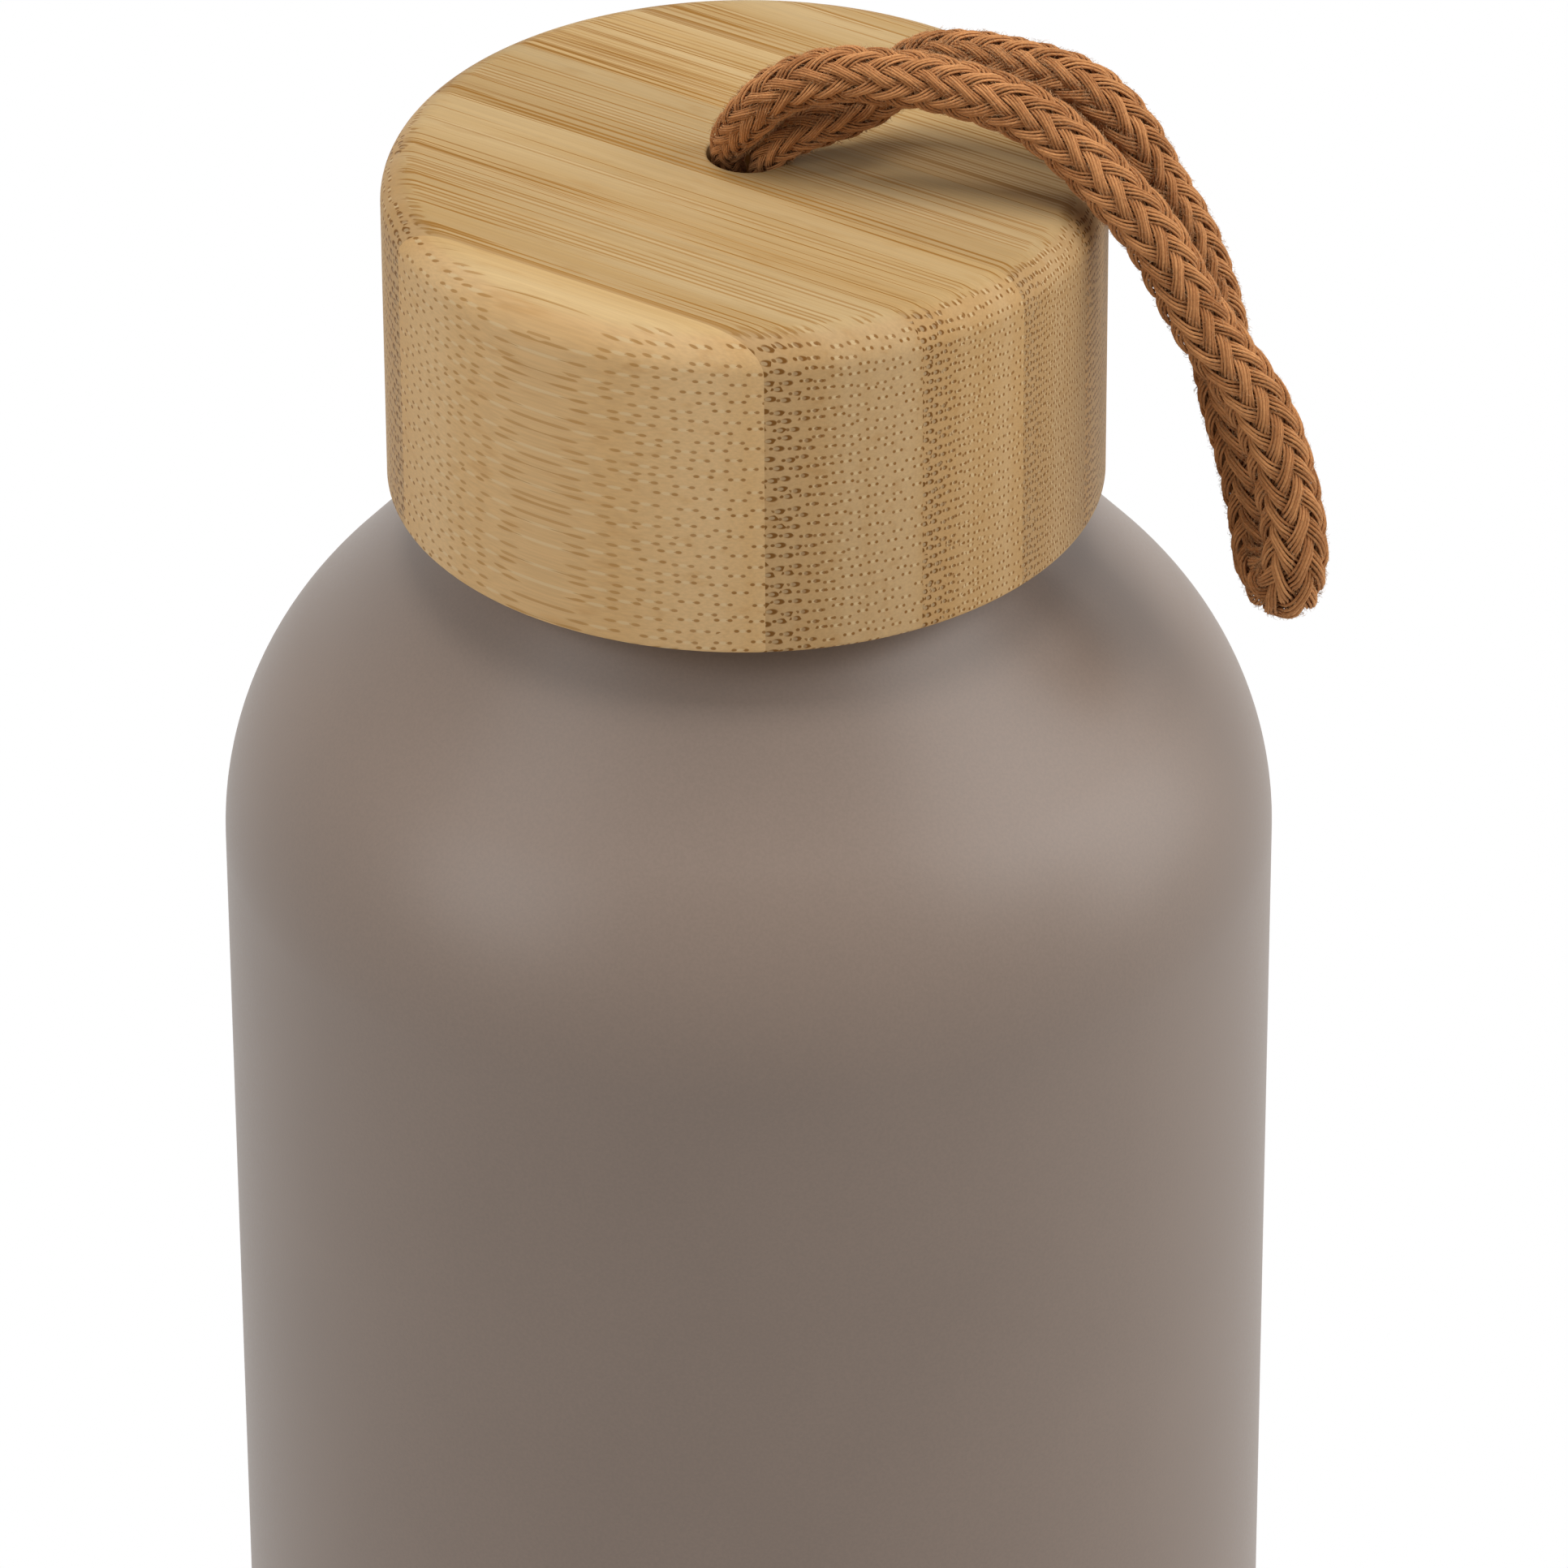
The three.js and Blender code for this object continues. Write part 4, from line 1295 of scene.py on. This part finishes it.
@dataclass
class ScrewCap:
    """Bamboo cap, its threaded insert and the ring that seals the mouth. Millimetres."""

    radius: float = 23.6
    bore: float = 20.7
    bottom: float = 197.2
    top: float = 220.2
    top_round: float = 2.5
    bottom_round: float = 0.35
    ceiling: float = 210.2
    pocket_radius: float = 8.8
    pocket_top: float = 215.2
    hole_radius: float = 2.75
    hole_round: float = 0.2
    hole_shift: Place = (0.3, 1.2, 0.0)
    insert_radius: float = 20.4
    insert_bore: float = 19.0
    insert_bottom: float = 197.5
    insert_top: float = 209.9
    lead_in: float = 0.3
    ceiling_under: float = 208.4
    well_radius: float = 10.0
    well_floor: float = 205.2
    well_wall: float = 1.2
    boss_outer: float = 14.2
    boss_inner: float = 12.4
    boss_drop: float = 1.4
    ring_inner: float = 14.5
    ring_outer: float = 18.4
    ring_bottom: float = 206.7
    ring_top: float = 208.1
    ring_round: float = 0.4
    steps: int = 224
    insert_steps: int = 192
    ring_steps: int = 160
    thread: ThreadRun = ThreadRun(19.0, 18.0, 197.6, 198.85, 205.35)

    def build(self) -> None:
        """Makes the cap's pieces."""
        Workshop.fit(self.make_cap(), BAMBOO, Body.CAP, "bamboo_cap")
        Workshop.fit(self.make_insert(), PLASTIC, Body.CAP, "cap_insert")
        Workshop.fit(self.make_ring(), SILICONE, Body.SEAL, "cap_gasket")

    def make_cap(self) -> bpy.types.Object:
        """Bamboo block: rounded top edge, cord hole, knot pocket and wide bore.

        Returns:
            The bamboo cap.
        """
        profile = [
            (self.bore, self.bottom), (self.radius, self.bottom),
            *arc((self.radius - self.top_round, self.top - self.top_round), self.top_round, 0.0, 90.0, 16),
            (self.hole_radius, self.top), (self.hole_radius, self.pocket_top),
            (self.pocket_radius, self.pocket_top), (self.pocket_radius, self.ceiling),
            (self.bore, self.ceiling),
        ]
        rounds = {1: self.bottom_round, 19: self.hole_round}
        cap = Workshop.turned("bamboo_block", profile, self.steps, rounds=rounds)
        hole_reach = (self.hole_radius + self.pocket_radius) / 2 * MM
        for vert in cap.data.vertices:
            if math.hypot(vert.co.x, vert.co.y) < hole_reach:
                vert.co += Vector(self.hole_shift) * MM
        return cap

    def make_insert(self) -> bpy.types.Object:
        """Insert with its thread, gasket boss and the well for the knot.

        Returns:
            The threaded insert.
        """
        boss = self.ceiling_under - self.boss_drop
        profile = [
            (0.0, self.well_floor - self.well_wall), (self.well_radius, self.well_floor - self.well_wall),
            (self.well_radius, self.ceiling_under), (self.boss_inner, self.ceiling_under),
            (self.boss_inner, boss), (self.boss_outer, boss), (self.boss_outer, self.ceiling_under),
            *rows(self.insert_bore, self.ceiling_under, self.insert_bottom + self.lead_in, 60),
            (self.insert_bore + self.lead_in, self.insert_bottom), (self.insert_radius, self.insert_bottom),
            (self.insert_radius, self.insert_top), (self.pocket_radius, self.insert_top),
            (self.pocket_radius, self.well_floor), (0.0, self.well_floor),
        ]
        rounds = {1: 0.5, 2: 0.3, 4: 0.25, 5: 0.25}
        return Workshop.turned(
            "threaded_insert", profile, self.insert_steps, ring=False, rounds=rounds, thread=self.thread)

    def make_ring(self) -> bpy.types.Object:
        """Silicone ring with rounded edges.

        Returns:
            The sealing ring.
        """
        corners = [
            (self.ring_inner, self.ring_bottom), (self.ring_outer, self.ring_bottom),
            (self.ring_outer, self.ring_top), (self.ring_inner, self.ring_top),
        ]
        rounds = dict.fromkeys(range(len(corners)), self.ring_round)
        return Workshop.turned("sealing_ring", corners, self.ring_steps, rounds=rounds)


# Studio


@dataclass(frozen=True)
class Softbox:
    """Square soft lamp that faces the bottle's upper half. Metres and watts."""

    name: str
    direction: Place
    power: float
    distance: float = 1.0
    size: float = 0.6
    aim: Place = (0.0, 0.0, 0.19)

    def hang(self) -> None:
        """Makes the lamp and points it at its aim."""
        lamp = bpy.data.lights.new(self.name, "AREA")
        lamp.shape = "SQUARE"
        lamp.size = self.size
        lamp.energy = self.power
        holder = bpy.data.objects.new(self.name, lamp)
        bpy.context.scene.collection.objects.link(holder)
        outward = Vector(self.direction).normalized()
        holder.location = Vector(self.aim) + outward * self.distance
        holder.rotation_euler = outward.to_track_quat("Z", "Y").to_euler()


@dataclass
class Studio:
    """Camera, lamps, white surroundings and a pale floor. Metres."""

    camera_place: Place = (0.0, -0.65835, 0.58810)
    pitch: float = 0.5631126
    roll: float = -0.0048829
    yaw: float = 0.0035983
    focal_pixels: float = 14350.84
    frame_pixels: float = 1932.0
    sensor: float = 36.0
    clip: tuple[float, float] = (0.05, 50.0)
    ambient: float = 0.245
    floor_tint: Colour = (0.80, 0.80, 0.80)
    floor_half: float = 3.0
    shadow_edge: float = 0.075
    white_edge: float = 0.14
    softboxes: tuple[Softbox, ...] = (
        Softbox("left_softbox", (-0.785, -0.453, 0.423), 2.7),
        Softbox("right_softbox", (0.760, -0.277, 0.588), 3.35),
        Softbox("top_softbox", (0.0, -0.02, 1.0), 8.3),
        Softbox("side_softbox", (0.974, 0.085, 0.208), 2.9),
    )

    def build(self) -> None:
        """Sets up the studio."""
        bpy.context.scene.view_settings.view_transform = "Standard"
        self.set_camera()
        for softbox in self.softboxes:
            softbox.hang()
        self.set_world()
        self.lay_floor()

    def set_camera(self) -> None:
        """Stands the camera where the photograph was taken from."""
        right = Vector((math.cos(self.yaw), -math.sin(self.yaw), 0.0))
        level = Vector((math.sin(self.yaw), math.cos(self.yaw), 0.0))
        up = Vector((0.0, 0.0, 1.0))
        ahead = math.cos(self.pitch) * level - math.sin(self.pitch) * up
        over = math.sin(self.pitch) * level + math.cos(self.pitch) * up
        x_axis = math.cos(self.roll) * right + math.sin(self.roll) * over
        y_axis = math.cos(self.roll) * over - math.sin(self.roll) * right
        data = bpy.data.cameras.new("photo_camera")
        data.sensor_width = self.sensor
        data.lens = self.focal_pixels / self.frame_pixels * self.sensor
        data.clip_start, data.clip_end = self.clip
        camera = bpy.data.objects.new("photo_camera", data)
        bpy.context.scene.collection.objects.link(camera)
        turn = Matrix((x_axis, y_axis, -ahead)).transposed().to_4x4()
        camera.matrix_world = Matrix.Translation(self.camera_place) @ turn
        bpy.context.scene.camera = camera

    @staticmethod
    def seen(sheet: NodeSheet) -> Term:
        """Mask of the rays that see the surroundings.

        Args:
            sheet: Sheet of a material or the world.

        Returns:
            1 for camera, glossy and transmission rays, and 0 for the rest.
        """
        path = sheet.add("LightPath").outputs
        straight = sheet.maths("MAXIMUM", path["Is Camera Ray"], path["Is Glossy Ray"])
        return sheet.maths("MAXIMUM", straight, path["Is Transmission Ray"])

    def set_world(self) -> None:
        """White surroundings that light the bottle at a plain level."""
        world = bpy.data.worlds.new("white_studio")
        world.use_nodes = True
        bpy.context.scene.world = world
        sheet = NodeSheet(world.node_tree)
        fill = sheet.add("Background", {"Color": WHITE, "Strength": self.ambient})
        white = sheet.add("Background", {"Color": WHITE, "Strength": 1.0})
        mixed = sheet.add("MixShader", {0: self.seen(sheet), 1: fill.outputs[0], 2: white.outputs[0]})
        sheet.add("OutputWorld", {"Surface": mixed.outputs[0]})

    def lay_floor(self) -> None:
        """Pale floor that keeps the bottle's shadow and turns white further out."""
        bm = bmesh.new()
        bmesh.ops.create_grid(bm, x_segments=1, y_segments=1, size=self.floor_half)
        floor = Workshop.piece("studio_floor", bm)
        material = bpy.data.materials.new("pale_floor")
        material.use_nodes = True
        sheet = NodeSheet(material.node_tree)
        coords = sheet.add("TexCoord").outputs["Object"]
        away = sheet.add("VectorMath", {0: coords}, operation="LENGTH").outputs["Value"]
        share = sheet.ramp(away, self.shadow_edge, self.white_edge) * self.seen(sheet)
        matt = sheet.add("BsdfDiffuse", {"Color": self.floor_tint})
        white = sheet.add("Emission", {"Color": WHITE, "Strength": 1.0})
        mixed = sheet.add("MixShader", {0: share, 1: matt.outputs[0], 2: white.outputs[0]})
        sheet.add("OutputMaterial", {"Surface": mixed.outputs[0]})
        floor.data.materials.append(material)


def main() -> None:
    """Builds the studio and the bottle's sub-assemblies, in order."""
    logging.basicConfig(level=logging.INFO, format="%(name)s: %(message)s")
    for assembly in (Studio(), CarryCord(), BottleBody(), ScrewCap()):
        LOG.info("building %s", type(assembly).__name__)
        assembly.build()


if __name__ == "__main__":
    main()
